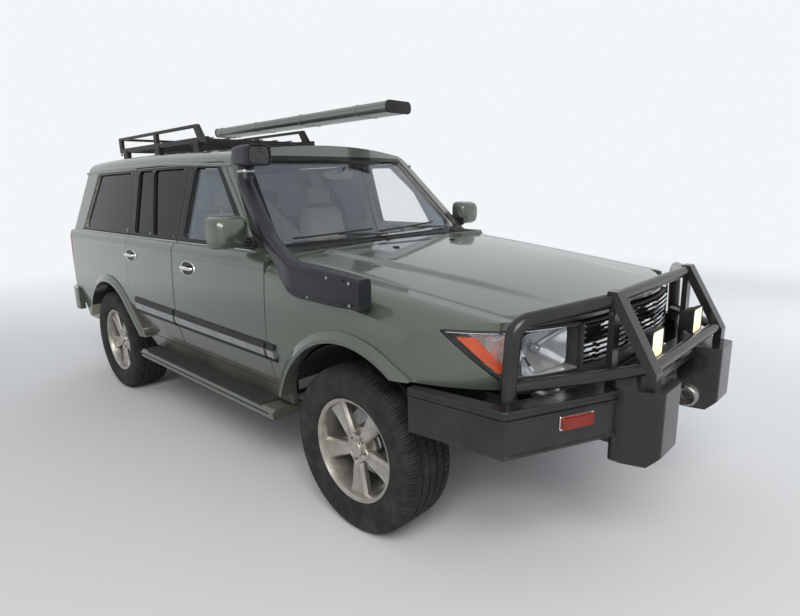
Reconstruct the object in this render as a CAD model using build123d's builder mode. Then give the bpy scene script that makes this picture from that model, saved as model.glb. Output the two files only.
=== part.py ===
from build123d import *
import math
import os

os.makedirs("parts", exist_ok=True)

# Millimetres. +Z is up, the front of the vehicle faces -Y, its left side is +X.
# The origin is on the ground, in the middle of the vehicle's length and width.
# "Behind" below is a distance behind the front axle, so that stations along the
# vehicle read the same way as a body drawing.

# Driving dimensions
WHEELBASE = 2850.0
FRONT_REACH = 1165.0          # front axle to the front face of the bar
REAR_REACH = 1135.0           # rear axle to the back of the rear bumper
TRACK = 1620.0
TYRE_RADIUS = 394.0
TYRE_WIDTH = 272.0
RIM_RADIUS = 232.0            # bead seat
RIM_WIDTH = 216.0
RIM_LIP = 246.0
BODY_HALF = 945.0             # waist
SILL_Z = 470.0                # bottom edge of the body sides
FLOOR_Z = 640.0               # top of the cabin floor
LOAD_FLOOR_Z = 780.0
FLOOR_STEP = 2276.0           # where the floor steps up over the rear axle
BELT_Z = 1250.0               # bottom of the side windows
ROOF_Z = 1868.0
WALL = 60.0                   # whole thickness of doors and sides
PAN_THICK = 36.0              # floor pan
PANEL = 26.0                  # wings and bonnet
SHUT_GAP = 5.0
GLASS = 6.0
GLASS_SET = 14.0              # how far the glass sits in from the outer face
FLARE_PROUD = 24.0            # arch lip beyond the waist
FLARE_LIP = 16.0              # upright edge of the lip, next to the opening
FLARE_HEIGHT = 52.0
FLARE_FOOT_Z = 540.0
WHEEL_HOUSE = 30.0            # thickness of the rear wheel houses
STEER_ROOM = 470.0            # half width left between the front wheel wells
REAR_WELL_HALF = 650.0
RAIL_HALF = 430.0             # outer face of the chassis rails
RAIL_WIDTH = 80.0
RAIL_HEIGHT = 120.0
RAIL_LOW_Z = 480.0            # underside of the rails between the axles
RACK_FOOT_Z = 1822.0
TUBE = 58.0                   # bar tubes
SIDE_REACH = 1250.0           # past the widest piece

FRONT_AXLE_Y = FRONT_REACH - (FRONT_REACH + WHEELBASE + REAR_REACH) / 2
REAR_AXLE = WHEELBASE
WHEEL_X = TRACK / 2


def behind(distance):
    """Y of a station that is this far behind the front axle."""
    return FRONT_AXLE_Y + distance


def across(distance):
    """The plane square to the vehicle at a station, X across and Z up."""
    return Plane.XZ.offset(-behind(distance))


def save(piece, name):
    """Label the finished piece and write it under its own name."""
    piece.part.label = name
    export_step(piece.part, "parts/" + name + ".step")


def save_pair(piece, stem):
    """Write a left-hand piece, and its mirror image as the right-hand one."""
    save(piece, stem + "_left")
    with BuildPart() as other:
        add(mirror(piece.part, about=Plane.YZ))
    save(other, stem + "_right")


def side_prism(outline, side, grow=0.0, radius=0.0):
    """Prism through one side (or both, side 0) from an outline of (behind, z) corners."""
    with BuildPart() as prism:
        with BuildSketch(Plane.YZ):
            with BuildLine():
                Polyline(*[(behind(t), z) for t, z in outline], close=True)
            make_face()
            if radius:
                fillet(vertices(), radius)
            if grow:
                offset(amount=grow)
        if side:
            extrude(amount=side * SIDE_REACH)
        else:
            extrude(amount=SIDE_REACH, both=True)
    return prism.part


def end_prism(outline, start, length, grow=0.0, radius=0.0):
    """Prism along the vehicle from a mirrored outline of (half width, z) corners."""
    corners = [(x, z) for x, z in outline] + [(-x, z) for x, z in reversed(outline)]
    with BuildPart() as prism:
        with BuildSketch(across(start)):
            with BuildLine():
                Polyline(*corners, close=True)
            make_face()
            if radius:
                fillet(vertices(), radius)
            if grow:
                offset(amount=grow)
        extrude(amount=-length)
    return prism.part


def block(low, high):
    """Box between two corners, each (x, behind, z)."""
    size = [abs(b - a) for a, b in zip(low, high)]
    middle = [(a + b) / 2 for a, b in zip(low, high)]
    return Pos(middle[0], behind(middle[1]), middle[2]) * Box(*size, mode=Mode.PRIVATE)


# Body form
# Lower body sections: behind, waist half width, shoulder z, edge half width, edge z, crown z
NOSE_SECTIONS = [
    (-920.0, 0.985, 940.0, 730.0, 1052.0, 1078.0),
    (-250.0, 1.0, 1035.0, 780.0, 1130.0, 1165.0),
    (640.0, 1.0, 1150.0, 850.0, 1222.0, 1246.0),
]
TUB_SECTIONS = [
    (560.0, 1.0, 1165.0, 897.0, 1238.0, BELT_Z),
    (2400.0, 1.0, 1165.0, 902.0, 1240.0, BELT_Z),
    (3960.0, 0.985, 1160.0, 880.0, 1240.0, BELT_Z),
]
# Cabin sections: behind, half width at the belt, gutter half width, gutter z, roof edge half width, crown z
CABIN_SECTIONS = [
    (400.0, 884.0, 735.0, 1700.0, 640.0, 1800.0),
    (1900.0, 892.0, 738.0, 1742.0, 645.0, ROOF_Z - 14.0),
    (3000.0, 890.0, 735.0, 1744.0, 640.0, ROOF_Z),
    (4000.0, 860.0, 712.0, 1722.0, 615.0, ROOF_Z - 34.0),
]
ROOF_EDGE_DROP = 50.0         # roof edge below the crown
ROCKER_HALF = 880.0
WAIST_Z = 760.0
# Windscreen and tail: centre line foot (behind, z) and head (behind, z), radius of the bow
SCREEN_FOOT = (585.0, 1240.0)
SCREEN_HEAD = (1142.0, 1790.0)
SCREEN_BOW = 3500.0
TAIL_FOOT = (3888.0, BELT_Z)
TAIL_HEAD = (3690.0, 1800.0)
TAIL_BOW = 3600.0
# Plan outline, from the nose to the tail: behind, half width
PLAN_NOSE = [(-878.0, 0.0), (-842.0, 470.0), (-690.0, 780.0), (-430.0, 915.0), (-200.0, BODY_HALF + 4)]
PLAN_TAIL = [(3500.0, BODY_HALF + 4), (3760.0, 905.0), (3860.0, 800.0), (3905.0, 400.0), (3912.0, 0.0)]


def lower_loft(sections, inset, floor):
    """Loft of the lower body, every face moved in by the inset."""
    with BuildPart() as form:
        for t, scale, shoulder_z, edge_half, edge_z, crown_z in sections:
            waist = BODY_HALF * scale - inset
            with BuildSketch(across(t)):
                with BuildLine():
                    Line((0, floor), (ROCKER_HALF - inset, floor))
                    Line((ROCKER_HALF - inset, floor), (waist, WAIST_Z))
                    ThreePointArc(
                        (waist, WAIST_Z),
                        (waist - 1, (WAIST_Z + shoulder_z) / 2),
                        (waist - 14, shoulder_z - inset / 2),
                    )
                    RadiusArc(
                        (waist - 14, shoulder_z - inset / 2),
                        (edge_half - inset, edge_z - inset),
                        -math.dist((waist - 14, shoulder_z), (edge_half, edge_z)) * 0.95,
                    )
                    ThreePointArc(
                        (edge_half - inset, edge_z - inset),
                        ((edge_half - inset) / 2, edge_z + (crown_z - edge_z) * 0.75 - inset),
                        (0, crown_z - inset),
                    )
                    mirror(about=Plane.YZ)
                make_face()
        loft()
    return form.part


def cabin_loft(inset):
    """Loft of the part above the belt."""
    with BuildPart() as form:
        for t, belt_half, gutter_half, gutter_z, edge_half, crown_z in CABIN_SECTIONS:
            belt_z = BELT_Z - 90
            edge_z = crown_z - ROOF_EDGE_DROP
            with BuildSketch(across(t)):
                with BuildLine():
                    Line((0, belt_z), (belt_half + 18 - inset, belt_z))
                    Line((belt_half + 18 - inset, belt_z), (gutter_half - inset, gutter_z))
                    RadiusArc(
                        (gutter_half - inset, gutter_z),
                        (edge_half - inset, edge_z - inset),
                        -math.dist((gutter_half, gutter_z), (edge_half, edge_z)) * 0.9,
                    )
                    ThreePointArc(
                        (edge_half - inset, edge_z - inset),
                        ((edge_half - inset) / 2, edge_z + ROOF_EDGE_DROP * 0.75 - inset),
                        (0, crown_z - inset),
                    )
                    mirror(about=Plane.YZ)
                make_face()
        loft()
    return form.part


def bowed_end(foot, head, bow, inset, facing):
    """Long cylinder along a sloping centre line, bowed across; facing -1 front, 1 rear."""
    run = Vector(0, head[0] - foot[0], head[1] - foot[1]).normalized()
    outward = Vector(0, facing * run.Z, -facing * run.Y)
    centre = Vector(0, behind(foot[0]), foot[1]) - outward * (bow + inset)
    with BuildPart() as form:
        with BuildSketch(Plane(origin=centre - run * 4000, x_dir=(1, 0, 0), z_dir=run)):
            Circle(bow)
        extrude(amount=8000)
    return form.part


def plan_prism(inset):
    """Plan outline of the whole body, carried up through it."""
    nose = [(x - inset if x else 0.0, t + inset) for t, x in PLAN_NOSE]
    tail = [(x - inset if x else 0.0, t - inset) for t, x in PLAN_TAIL]
    nose = [(x, behind(t)) for x, t in nose]
    tail = [(x, behind(t)) for x, t in tail]
    with BuildPart() as form:
        with BuildSketch():
            with BuildLine():
                ThreePointArc(nose[0], nose[1], nose[2])
                ThreePointArc(nose[2], nose[3], nose[4])
                Line(nose[4], tail[0])
                ThreePointArc(tail[0], tail[1], tail[2])
                ThreePointArc(tail[2], tail[3], tail[4])
                mirror(about=Plane.YZ)
            make_face()
        extrude(amount=2200)
    return form.part


def cabin_form(inset, floor):
    """Tub and cabin together, with the windscreen and tail slopes and the plan corners."""
    with BuildPart() as form:
        add(cabin_loft(inset))
        add(bowed_end(SCREEN_FOOT, SCREEN_HEAD, SCREEN_BOW, inset, -1), mode=Mode.INTERSECT)
        add(bowed_end(TAIL_FOOT, TAIL_HEAD, TAIL_BOW, inset, 1), mode=Mode.INTERSECT)
        add(lower_loft(TUB_SECTIONS, inset, floor))
        add(plan_prism(inset), mode=Mode.INTERSECT)
    return form.part


def nose_form(inset, floor):
    """The body ahead of the cabin."""
    with BuildPart() as form:
        add(lower_loft(NOSE_SECTIONS, inset, floor))
        add(plan_prism(inset), mode=Mode.INTERSECT)
    return form.part


outer = cabin_form(0.0, SILL_Z)
inner = cabin_form(WALL, SILL_Z - 1)
nose_outer = nose_form(0.0, SILL_Z)
nose_inner = nose_form(PANEL, SILL_Z - 1)

# Outlines in side view, as corners of (behind, z)
DOOR_FOOT_Z = 556.0
DOOR_FRONT = 606.0
DOOR_SPLIT = 1657.0
GUTTER_LINE = 1726.0
FRONT_DOOR = [
    (DOOR_FRONT, DOOR_FOOT_Z),
    (DOOR_FRONT, BELT_Z - 14),
    (742.0, BELT_Z + 12),
    (1252.0, GUTTER_LINE - 6),
    (1300.0, GUTTER_LINE),
    (DOOR_SPLIT, GUTTER_LINE),
    (DOOR_SPLIT, DOOR_FOOT_Z),
]
REAR_DOOR = [
    (DOOR_SPLIT + SHUT_GAP, DOOR_FOOT_Z),
    (DOOR_SPLIT + SHUT_GAP, GUTTER_LINE),
    (2540.0, GUTTER_LINE),
    (2425.0, BELT_Z + 10),
    (2418.0, 900.0),
    (2330.0, 740.0),
    (2225.0, DOOR_FOOT_Z),
]
FRONT_WINDOW = [(872.0, BELT_Z + 22), (1322.0, 1694.0), (1590.0, 1700.0), (1596.0, BELT_Z + 22)]
REAR_WINDOW = [(1728.0, BELT_Z + 22), (1736.0, 1700.0), (2205.0, 1702.0), (2040.0, BELT_Z + 22)]
DOOR_VENT = [(2078.0, BELT_Z + 22), (2240.0, 1702.0), (2462.0, 1702.0), (2360.0, BELT_Z + 22)]
QUARTER_WINDOW = [(2486.0, BELT_Z + 26), (2602.0, 1700.0), (3330.0, 1694.0), (3475.0, BELT_Z + 30)]
# In front view, as corners of (half width, z)
SCREEN_OPENING = [(745.0, BELT_Z + 20), (628.0, 1736.0)]
HATCH_SPLIT_Z = 1196.0
HATCH_OPENING = [(788.0, HATCH_SPLIT_Z), (782.0, BELT_Z + 30), (655.0, 1768.0)]
HATCH_WINDOW = [(725.0, BELT_Z + 24), (612.0, 1700.0)]
TAILGATE_FOOT_Z = 742.0
TAILGATE_OPENING = [(770.0, TAILGATE_FOOT_Z), (788.0, HATCH_SPLIT_Z - SHUT_GAP)]
HOOD_HALF_FRONT = 722.0
WING_INNER = HOOD_HALF_FRONT - 40
HOOD_HALF_REAR = 778.0
HOOD_FRONT = -838.0
HOOD_CORNER = -742.0
HOOD_THICK = 34.0
LAMP_LOW = 858.0
LAMP_HIGH = 1040.0
LAMP_INNER = 462.0
LAMP_REAR = -500.0            # outer end at the top, and at the foot
LAMP_REAR_LOW = -690.0
LAMP_DEPTH = 150.0
LAMP_GAP = 3.0
GRILLE_HALF = 440.0
GRILLE_LOW = 862.0
GRILLE_HIGH = 1034.0
GRILLE_SLATS = 5
SILL_DEPTH = 110.0
TAIL_LAMP_LOW = 930.0
TAIL_LAMP_HIGH = 1190.0
TAIL_LAMP_DEPTH = 26.0
BUMPER_FRONT = 3640.0
BUMPER_LOW = 540.0
BUMPER_HIGH = 730.0
FIREWALL = 566.0
HOOD_REAR = FIREWALL - SHUT_GAP
COWL_HALF = 840.0
BAR_TOP_Z = 812.0
BAR_WING_REAR = -400.0


# Chassis: two rails that kick up over the rear axle, with their cross members
RAIL_STATIONS = [
    (-760.0, 520.0),
    (-560.0, 520.0),
    (60.0, 500.0),
    (600.0, RAIL_LOW_Z),
    (2280.0, RAIL_LOW_Z),
    (2530.0, 610.0),
    (3200.0, 610.0),
    (3420.0, 545.0),
    (3830.0, 545.0),
]
# Behind, underside z, height
CROSS_MEMBERS = [
    (-700.0, 530.0, 70.0),
    (520.0, 500.0, 70.0),
    (1560.0, 536.0, 60.0),
    (2080.0, 522.0, 72.0),
    (2620.0, 640.0, 70.0),
    (3260.0, 625.0, 70.0),
    (3790.0, 556.0, 70.0),
]
# Stations of the mounts between the rails and the floor pan
BODY_MOUNTS = [720.0, 1300.0, 2180.0]
MOUNT_RADIUS = 34.0
with BuildPart() as chassis:
    for side in (-1, 1):
        with BuildSketch(Plane.YZ.offset(side * (RAIL_HALF - RAIL_WIDTH / 2))):
            with BuildLine():
                foot = [(behind(t), z) for t, z in RAIL_STATIONS]
                top = [(behind(t), z + RAIL_HEIGHT) for t, z in reversed(RAIL_STATIONS)]
                Polyline(*foot, *top, close=True)
            make_face()
        extrude(amount=RAIL_WIDTH / 2, both=True)
        for t in BODY_MOUNTS:
            with BuildSketch(Plane.XY.offset(RAIL_LOW_Z + RAIL_HEIGHT - 20)):
                with Locations((side * (RAIL_HALF - RAIL_WIDTH / 2), behind(t))):
                    Circle(MOUNT_RADIUS)
            extrude(amount=FLOOR_Z - PAN_THICK - RAIL_LOW_Z - RAIL_HEIGHT + 20)
    for t, z, height in CROSS_MEMBERS:
        add(block((-RAIL_HALF + 10, t - 35, z), (RAIL_HALF - 10, t + 35, z + height)))
save(chassis, "chassis_frame")

# Wheel arches: distance of the arch's centre behind the front axle, radius, half width inside,
# and how far the front edge leans from upright, in degrees
ARCHES = {
    "front": (-10.0, 512.0, STEER_ROOM, 0.0),
    "rear": (REAR_AXLE - 25.0, 484.0, REAR_WELL_HALF, 48.0),
}
ARCH_LOW = 100.0


def arch_face(place, grow, x):
    """Face inside one arch at X: round over the wheel, its front edge leaning forward at the foot."""
    centre, radius, inside, lean = ARCHES[place]
    reach = radius + grow
    touch_ahead = reach * math.cos(math.radians(lean))
    touch_z = TYRE_RADIUS + reach * math.sin(math.radians(lean))
    foot_ahead = touch_ahead + (touch_z - ARCH_LOW) * math.tan(math.radians(lean))
    foot = (behind(centre - foot_ahead), ARCH_LOW)
    touch = (behind(centre - touch_ahead), touch_z)
    crown = (behind(centre), TYRE_RADIUS + reach)
    rear = (behind(centre + reach), TYRE_RADIUS)
    with BuildSketch(Plane.YZ.offset(x)) as face:
        with BuildLine():
            Polyline(foot, touch)
            ThreePointArc(touch, crown, rear)
            Polyline(rear, (rear[0], ARCH_LOW), foot)
        make_face()
    return face.sketch


def wheel_well(place, grow=0.0):
    """The space round both wheels of an axle, out through the sides."""
    inside = ARCHES[place][2] - grow
    faces = [(side, arch_face(place, grow, side * inside)) for side in (-1, 1)]
    with BuildPart() as well:
        for side, face in faces:
            extrude(face, amount=side * (SIDE_REACH - inside))
    return well.part


def arch_flare(place, side):
    """Raised lip round one arch: its outer face slopes from the lip back to the body."""
    root = arch_face(place, FLARE_HEIGHT, side * (BODY_HALF - 50))
    base = arch_face(place, FLARE_HEIGHT, side * (BODY_HALF + 4))
    lip = arch_face(place, FLARE_LIP, side * (BODY_HALF + FLARE_PROUD))
    opening = wheel_well(place)
    below = block((-1200, -1000, 0), (1200, 4000, FLARE_FOOT_Z))
    with BuildPart() as flare:
        extrude(root, amount=side * 54)
        loft([base, lip], ruled=True)
        add(opening, mode=Mode.SUBTRACT)
        add(below, mode=Mode.SUBTRACT)
    return flare.part


cowl_keep = block((-COWL_HALF + 18, 500, 1000), (COWL_HALF - 18, 1000, BELT_Z + 12))
front_door_cut = side_prism(FRONT_DOOR, 0) - cowl_keep
rear_door_cut = side_prism(REAR_DOOR, 0)
quarter_cut = side_prism(QUARTER_WINDOW, 0, radius=45)
screen_cut = end_prism(SCREEN_OPENING, 380, 900, radius=40)
hatch_cut = end_prism(HATCH_OPENING, 3560, 600)
tailgate_cut = end_prism(TAILGATE_OPENING, 3560, 600)
flares = {(place, side): arch_flare(place, side) for place in ARCHES for side in (-1, 1)}
front_wells = wheel_well("front")
rear_wells = wheel_well("rear")

# Tail lamps on the rear corners
tail_skin = outer - cabin_form(TAIL_LAMP_DEPTH, SILL_Z)
TAIL_LAMP_INNER = 802.0
TAIL_LAMP_FRONT = 3690.0
tail_blocks = [
    block((side * TAIL_LAMP_INNER, TAIL_LAMP_FRONT, TAIL_LAMP_LOW), (side * 1100, 4000, TAIL_LAMP_HIGH))
    for side in (-1, 1)
]
with BuildPart() as tail_lamps:
    add(tail_skin)
    add(tail_blocks, mode=Mode.INTERSECT)
save(tail_lamps, "tail_lamps")

# Body shell: sides, pillars, roof, cowl and rear quarters
with BuildPart() as shell:
    add(outer)
    add(inner, mode=Mode.SUBTRACT)
    for side in (-1, 1):
        add(flares["rear", side])
    add(rear_wells, mode=Mode.SUBTRACT)
    add(block((-1200, 400, 0), (1200, FIREWALL, 2200)), mode=Mode.SUBTRACT)
    for side in (-1, 1):
        wing_room = block((side * (COWL_HALF - 4), 400, 0), (side * 1200, DOOR_FRONT, 1400))
        add(wing_room, mode=Mode.SUBTRACT)
    add(front_door_cut, mode=Mode.SUBTRACT)
    add(rear_door_cut, mode=Mode.SUBTRACT)
    add(quarter_cut, mode=Mode.SUBTRACT)
    add(screen_cut, mode=Mode.SUBTRACT)
    add(hatch_cut, mode=Mode.SUBTRACT)
    add(tailgate_cut, mode=Mode.SUBTRACT)
    add(block((-1200, BUMPER_FRONT - 6, 0), (1200, 4100, BUMPER_HIGH + 6)), mode=Mode.SUBTRACT)
    add(tail_lamps.part, mode=Mode.SUBTRACT)
save(shell, "body_shell")

# Floor pan: front floor, step and load floor, inner sills, rear wheel houses and firewall
PAN_HALF = 828.0              # clear of the closed doors
LOAD_PAN_HALF = 870.0
LOAD_PAN_REAR = 3848.0
SILL_TOP_Z = DOOR_FOOT_Z - SHUT_GAP
SILL_REAR = 2240.0
SILL_RISER_HALF = 806.0
DASH_FOOT_Z = 1100.0          # where the firewall narrows under the cowl
pan_slabs = [
    block((-PAN_HALF, FIREWALL, FLOOR_Z - PAN_THICK), (PAN_HALF, FLOOR_STEP, FLOOR_Z)),
    block((-PAN_HALF, FLOOR_STEP - PAN_THICK, FLOOR_Z - PAN_THICK), (PAN_HALF, FLOOR_STEP, LOAD_FLOOR_Z)),
    block((-PAN_HALF, FLOOR_STEP, LOAD_FLOOR_Z - PAN_THICK), (PAN_HALF, LOAD_PAN_REAR, LOAD_FLOOR_Z)),
    block((-LOAD_PAN_HALF, 2500, LOAD_FLOOR_Z - PAN_THICK), (LOAD_PAN_HALF, LOAD_PAN_REAR, LOAD_FLOOR_Z)),
    block((-PAN_HALF, FIREWALL, FLOOR_Z - PAN_THICK), (PAN_HALF, DOOR_FRONT, DASH_FOOT_Z + 10)),
    block((-790, FIREWALL, DASH_FOOT_Z), (790, DOOR_FRONT, 1205)),
]
with BuildPart() as wheel_houses:
    add(wheel_well("rear", WHEEL_HOUSE))
    add(rear_wells, mode=Mode.SUBTRACT)
    add(block((-1200, 2000, 0), (1200, 2440, 1200)), mode=Mode.SUBTRACT)
    add(block((-1200, 2000, 0), (1200, 4000, FLARE_FOOT_Z)), mode=Mode.SUBTRACT)
with BuildPart() as pan:
    add(pan_slabs)
    for side in (-1, 1):
        sill_in = side * (ROCKER_HALF - SILL_DEPTH)
        add(block((sill_in, DOOR_FRONT, SILL_Z), (side * PAN_HALF, SILL_REAR, SILL_TOP_Z)))
        add(block((sill_in, DOOR_FRONT, SILL_Z), (side * SILL_RISER_HALF, SILL_REAR, FLOOR_Z)))
    add(wheel_houses.part)
    add(inner, mode=Mode.INTERSECT)
    add(rear_wells, mode=Mode.SUBTRACT)
    add(shell.part, mode=Mode.SUBTRACT)
save(pan, "floor_pan")

# Glass: a thin layer of the cabin form inside each opening
def glass_form(inset):
    """The part above the belt alone, for the glass."""
    with BuildPart() as form:
        add(cabin_loft(inset))
        add(bowed_end(SCREEN_FOOT, SCREEN_HEAD, SCREEN_BOW, inset, -1), mode=Mode.INTERSECT)
        add(bowed_end(TAIL_FOOT, TAIL_HEAD, TAIL_BOW, inset, 1), mode=Mode.INTERSECT)
    return form.part


glass_layer = glass_form(GLASS_SET) - glass_form(GLASS_SET + GLASS)
with BuildPart() as windscreen:
    add(glass_layer)
    add(screen_cut, mode=Mode.INTERSECT)
save(windscreen, "windscreen")
with BuildPart() as quarter_glass:
    add(glass_layer)
    add(quarter_cut, mode=Mode.INTERSECT)
save(quarter_glass, "quarter_glass")

# Doors: the whole wall inside each outline, with its window openings
# Each rear edge is a thin flange with a rebate behind it, because that edge swings back as the door opens
DOOR_FLANGE = 8.0
DOOR_REBATE = 26.0
DOORS = [
    ("front", FRONT_DOOR, [FRONT_WINDOW], FRONT_DOOR[5:]),
    ("rear", REAR_DOOR, [REAR_WINDOW, DOOR_VENT], REAR_DOOR[2:]),
]
door_wall = outer - inner
behind_flange = cabin_form(DOOR_FLANGE, SILL_Z - 1)
for place, outline, windows, rear_edge in DOORS:
    outline_cut = side_prism(outline, 1, grow=-SHUT_GAP)
    rebate_front = [(t - DOOR_REBATE - SHUT_GAP, z) for t, z in reversed(rear_edge)]
    rebate = side_prism(rear_edge + rebate_front, 1)
    window_cuts = [side_prism(window, 1, radius=28) for window in windows]
    with BuildPart() as door:
        add(door_wall)
        if place == "rear":
            add(flares["rear", 1])
        add(outline_cut, mode=Mode.INTERSECT)
        for window_cut in window_cuts:
            add(window_cut, mode=Mode.SUBTRACT)
        add(behind_flange & rebate, mode=Mode.SUBTRACT)
        if place == "rear":
            add(rear_wells, mode=Mode.SUBTRACT)
        else:
            add(block((0, 500, 1000), (COWL_HALF - 12, 1000, BELT_Z + 18)), mode=Mode.SUBTRACT)
    save_pair(door, "door_" + place)
    with BuildPart() as pane:
        for window_cut in window_cuts:
            add(window_cut)
        add(glass_layer, mode=Mode.INTERSECT)
    save_pair(pane, "glass_" + place)

# Upper hatch with its glass, and the drop-down lower tailgate
hatch_outline = end_prism(HATCH_OPENING, 3560, 600, grow=-SHUT_GAP)
hatch_window = end_prism(HATCH_WINDOW, 3560, 600, radius=40)
with BuildPart() as hatch:
    add(door_wall)
    add(hatch_outline, mode=Mode.INTERSECT)
    add(hatch_window, mode=Mode.SUBTRACT)
save(hatch, "upper_hatch")
with BuildPart() as hatch_glass:
    add(glass_layer)
    add(hatch_window, mode=Mode.INTERSECT)
save(hatch_glass, "hatch_glass")
tailgate_outline = end_prism(TAILGATE_OPENING, 3560, 600, grow=-SHUT_GAP)
with BuildPart() as tailgate:
    add(door_wall)
    add(tailgate_outline, mode=Mode.INTERSECT)
save(tailgate, "lower_tailgate")

# Bonnet and wings
HOOD_PLAN = [
    (HOOD_FRONT, 0.0),
    (HOOD_FRONT + 26, 400.0),
    (HOOD_CORNER, HOOD_HALF_FRONT),
    (HOOD_REAR, HOOD_HALF_REAR),
    (HOOD_REAR, 0.0),
]


def hood_prism(grow):
    """The bonnet's plan outline carried up, with a bowed front edge."""
    front, front_mid, corner, rear, rear_mid = [(x, behind(t)) for t, x in HOOD_PLAN]
    with BuildPart() as prism:
        with BuildSketch(Plane.XY.offset(900)):
            with BuildLine():
                ThreePointArc(front, front_mid, corner)
                Polyline(corner, rear, rear_mid)
                mirror(about=Plane.YZ)
            make_face()
            if grow:
                offset(amount=grow)
        extrude(amount=500)
    return prism.part


hood_cut = hood_prism(0.0)
hood_outline = hood_prism(-SHUT_GAP)
hood_under = nose_form(HOOD_THICK, SILL_Z)
with BuildPart() as hood:
    add(nose_outer)
    add(hood_under, mode=Mode.SUBTRACT)
    add(hood_outline, mode=Mode.INTERSECT)
    add(block((-1200, -1000, 0), (1200, LAMP_REAR, LAMP_HIGH + SHUT_GAP)), mode=Mode.SUBTRACT)
save(hood, "hood")

# Outlines of the right and left lamp openings in side view; the outer end slopes forward at its foot
LAMP_SIDE = [(-1000.0, LAMP_LOW), (LAMP_REAR_LOW, LAMP_LOW), (LAMP_REAR, LAMP_HIGH), (-1000.0, LAMP_HIGH)]
lamp_keep = block((-LAMP_INNER, -1000, 0), (LAMP_INNER, 0, 1400))
lamp_keep_wide = block((-LAMP_INNER + LAMP_GAP, -1000, 0), (LAMP_INNER - LAMP_GAP, 0, 1400))
lamp_space = side_prism(LAMP_SIDE, 0) - lamp_keep
lamp_opening = side_prism(LAMP_SIDE, 0, grow=LAMP_GAP) - lamp_keep_wide
nose_plan_back = plan_prism(LAMP_DEPTH)
with BuildPart() as wing:
    add(nose_outer)
    add(nose_inner, mode=Mode.SUBTRACT)
    add(hood_cut, mode=Mode.SUBTRACT)
    add(block((-1200, -1000, 0), (WING_INNER, 700, 1400)), mode=Mode.SUBTRACT)
    add(flares["front", 1])
    add(front_wells, mode=Mode.SUBTRACT)
    add(lamp_opening, mode=Mode.SUBTRACT)
    add(block((200, -1000, 0), (1100, -300, BAR_TOP_Z + 8)), mode=Mode.SUBTRACT)
    add(block((0, DOOR_FRONT, 0), (1100, 800, 1400)), mode=Mode.SUBTRACT)
    add(block((0, HOOD_REAR, 0), (COWL_HALF, 800, 1400)), mode=Mode.SUBTRACT)
save_pair(wing, "wing")

# Headlamps wrap round the corners of the nose
with BuildPart() as headlamps:
    add(nose_outer)
    add(nose_plan_back, mode=Mode.SUBTRACT)
    add(lamp_space, mode=Mode.INTERSECT)
save(headlamps, "headlamps")

# Nose panel: the painted surround beside and below the grille, and the strip under the lamps
NOSE_PANEL_THICK = 30.0
NOSE_PANEL_HALF = LAMP_INNER - LAMP_GAP
NOSE_STRIP_HALF = WING_INNER - 2
NOSE_PANEL_LOW = BAR_TOP_Z + 8
nose_skin = nose_outer - plan_prism(NOSE_PANEL_THICK)
with BuildPart() as nose_panel:
    add(nose_skin)
    panel_room = block((-NOSE_PANEL_HALF, -1000, NOSE_PANEL_LOW), (NOSE_PANEL_HALF, -600, GRILLE_HIGH))
    strip_room = block((-NOSE_STRIP_HALF, -1000, NOSE_PANEL_LOW), (NOSE_STRIP_HALF, -600, LAMP_LOW - LAMP_GAP))
    add(panel_room + strip_room, mode=Mode.INTERSECT)
    add(block((-GRILLE_HALF, -1000, GRILLE_LOW), (GRILLE_HALF, -600, GRILLE_HIGH + 1)), mode=Mode.SUBTRACT)
save(nose_panel, "nose_panel")

# Grille: a frame with level slats that follow the nose's bow
GRILLE_THICK = 34.0
GRILLE_FRAME = 16.0
SLOT_SHARE = 0.52             # open part of each slat's pitch
with BuildPart() as grille:
    add(nose_outer)
    add(plan_prism(GRILLE_THICK), mode=Mode.SUBTRACT)
    add(block((-GRILLE_HALF, -1000, GRILLE_LOW), (GRILLE_HALF, -700, GRILLE_HIGH)), mode=Mode.INTERSECT)
    slat_pitch = (GRILLE_HIGH - GRILLE_LOW - 2 * GRILLE_FRAME) / GRILLE_SLATS
    slot_half = GRILLE_HALF - GRILLE_FRAME
    for row in range(GRILLE_SLATS):
        low = GRILLE_LOW + GRILLE_FRAME + row * slat_pitch
        slot = block((-slot_half, -1000, low), (slot_half, -700, low + slat_pitch * SLOT_SHARE))
        add(slot, mode=Mode.SUBTRACT)
save(grille, "grille")

# Radiator and its carrier, seen through the grille
RADIATOR_HALF = 420.0
RADIATOR_FRONT = -790.0
RADIATOR_LOW = 655.0
RADIATOR_ROWS = 9
RADIATOR_PITCH = 34.0
CARRIER_HALF = RAIL_HALF - RAIL_WIDTH
with BuildPart() as radiator:
    add(block((-RADIATOR_HALF, RADIATOR_FRONT, RADIATOR_LOW), (RADIATOR_HALF, RADIATOR_FRONT + 45, 1020)))
    carrier_rear = RADIATOR_FRONT + 55
    add(block((-CARRIER_HALF, RADIATOR_FRONT + 15, 600), (CARRIER_HALF, carrier_rear, RADIATOR_LOW + 5)))
    for row in range(RADIATOR_ROWS):
        low = RADIATOR_LOW + RADIATOR_PITCH * (row + 1)
        tubes_room = block((-390, RADIATOR_FRONT - 10, low), (390, RADIATOR_FRONT + 5, low + 16))
        add(tubes_room, mode=Mode.SUBTRACT)
save(radiator, "radiator")

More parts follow.
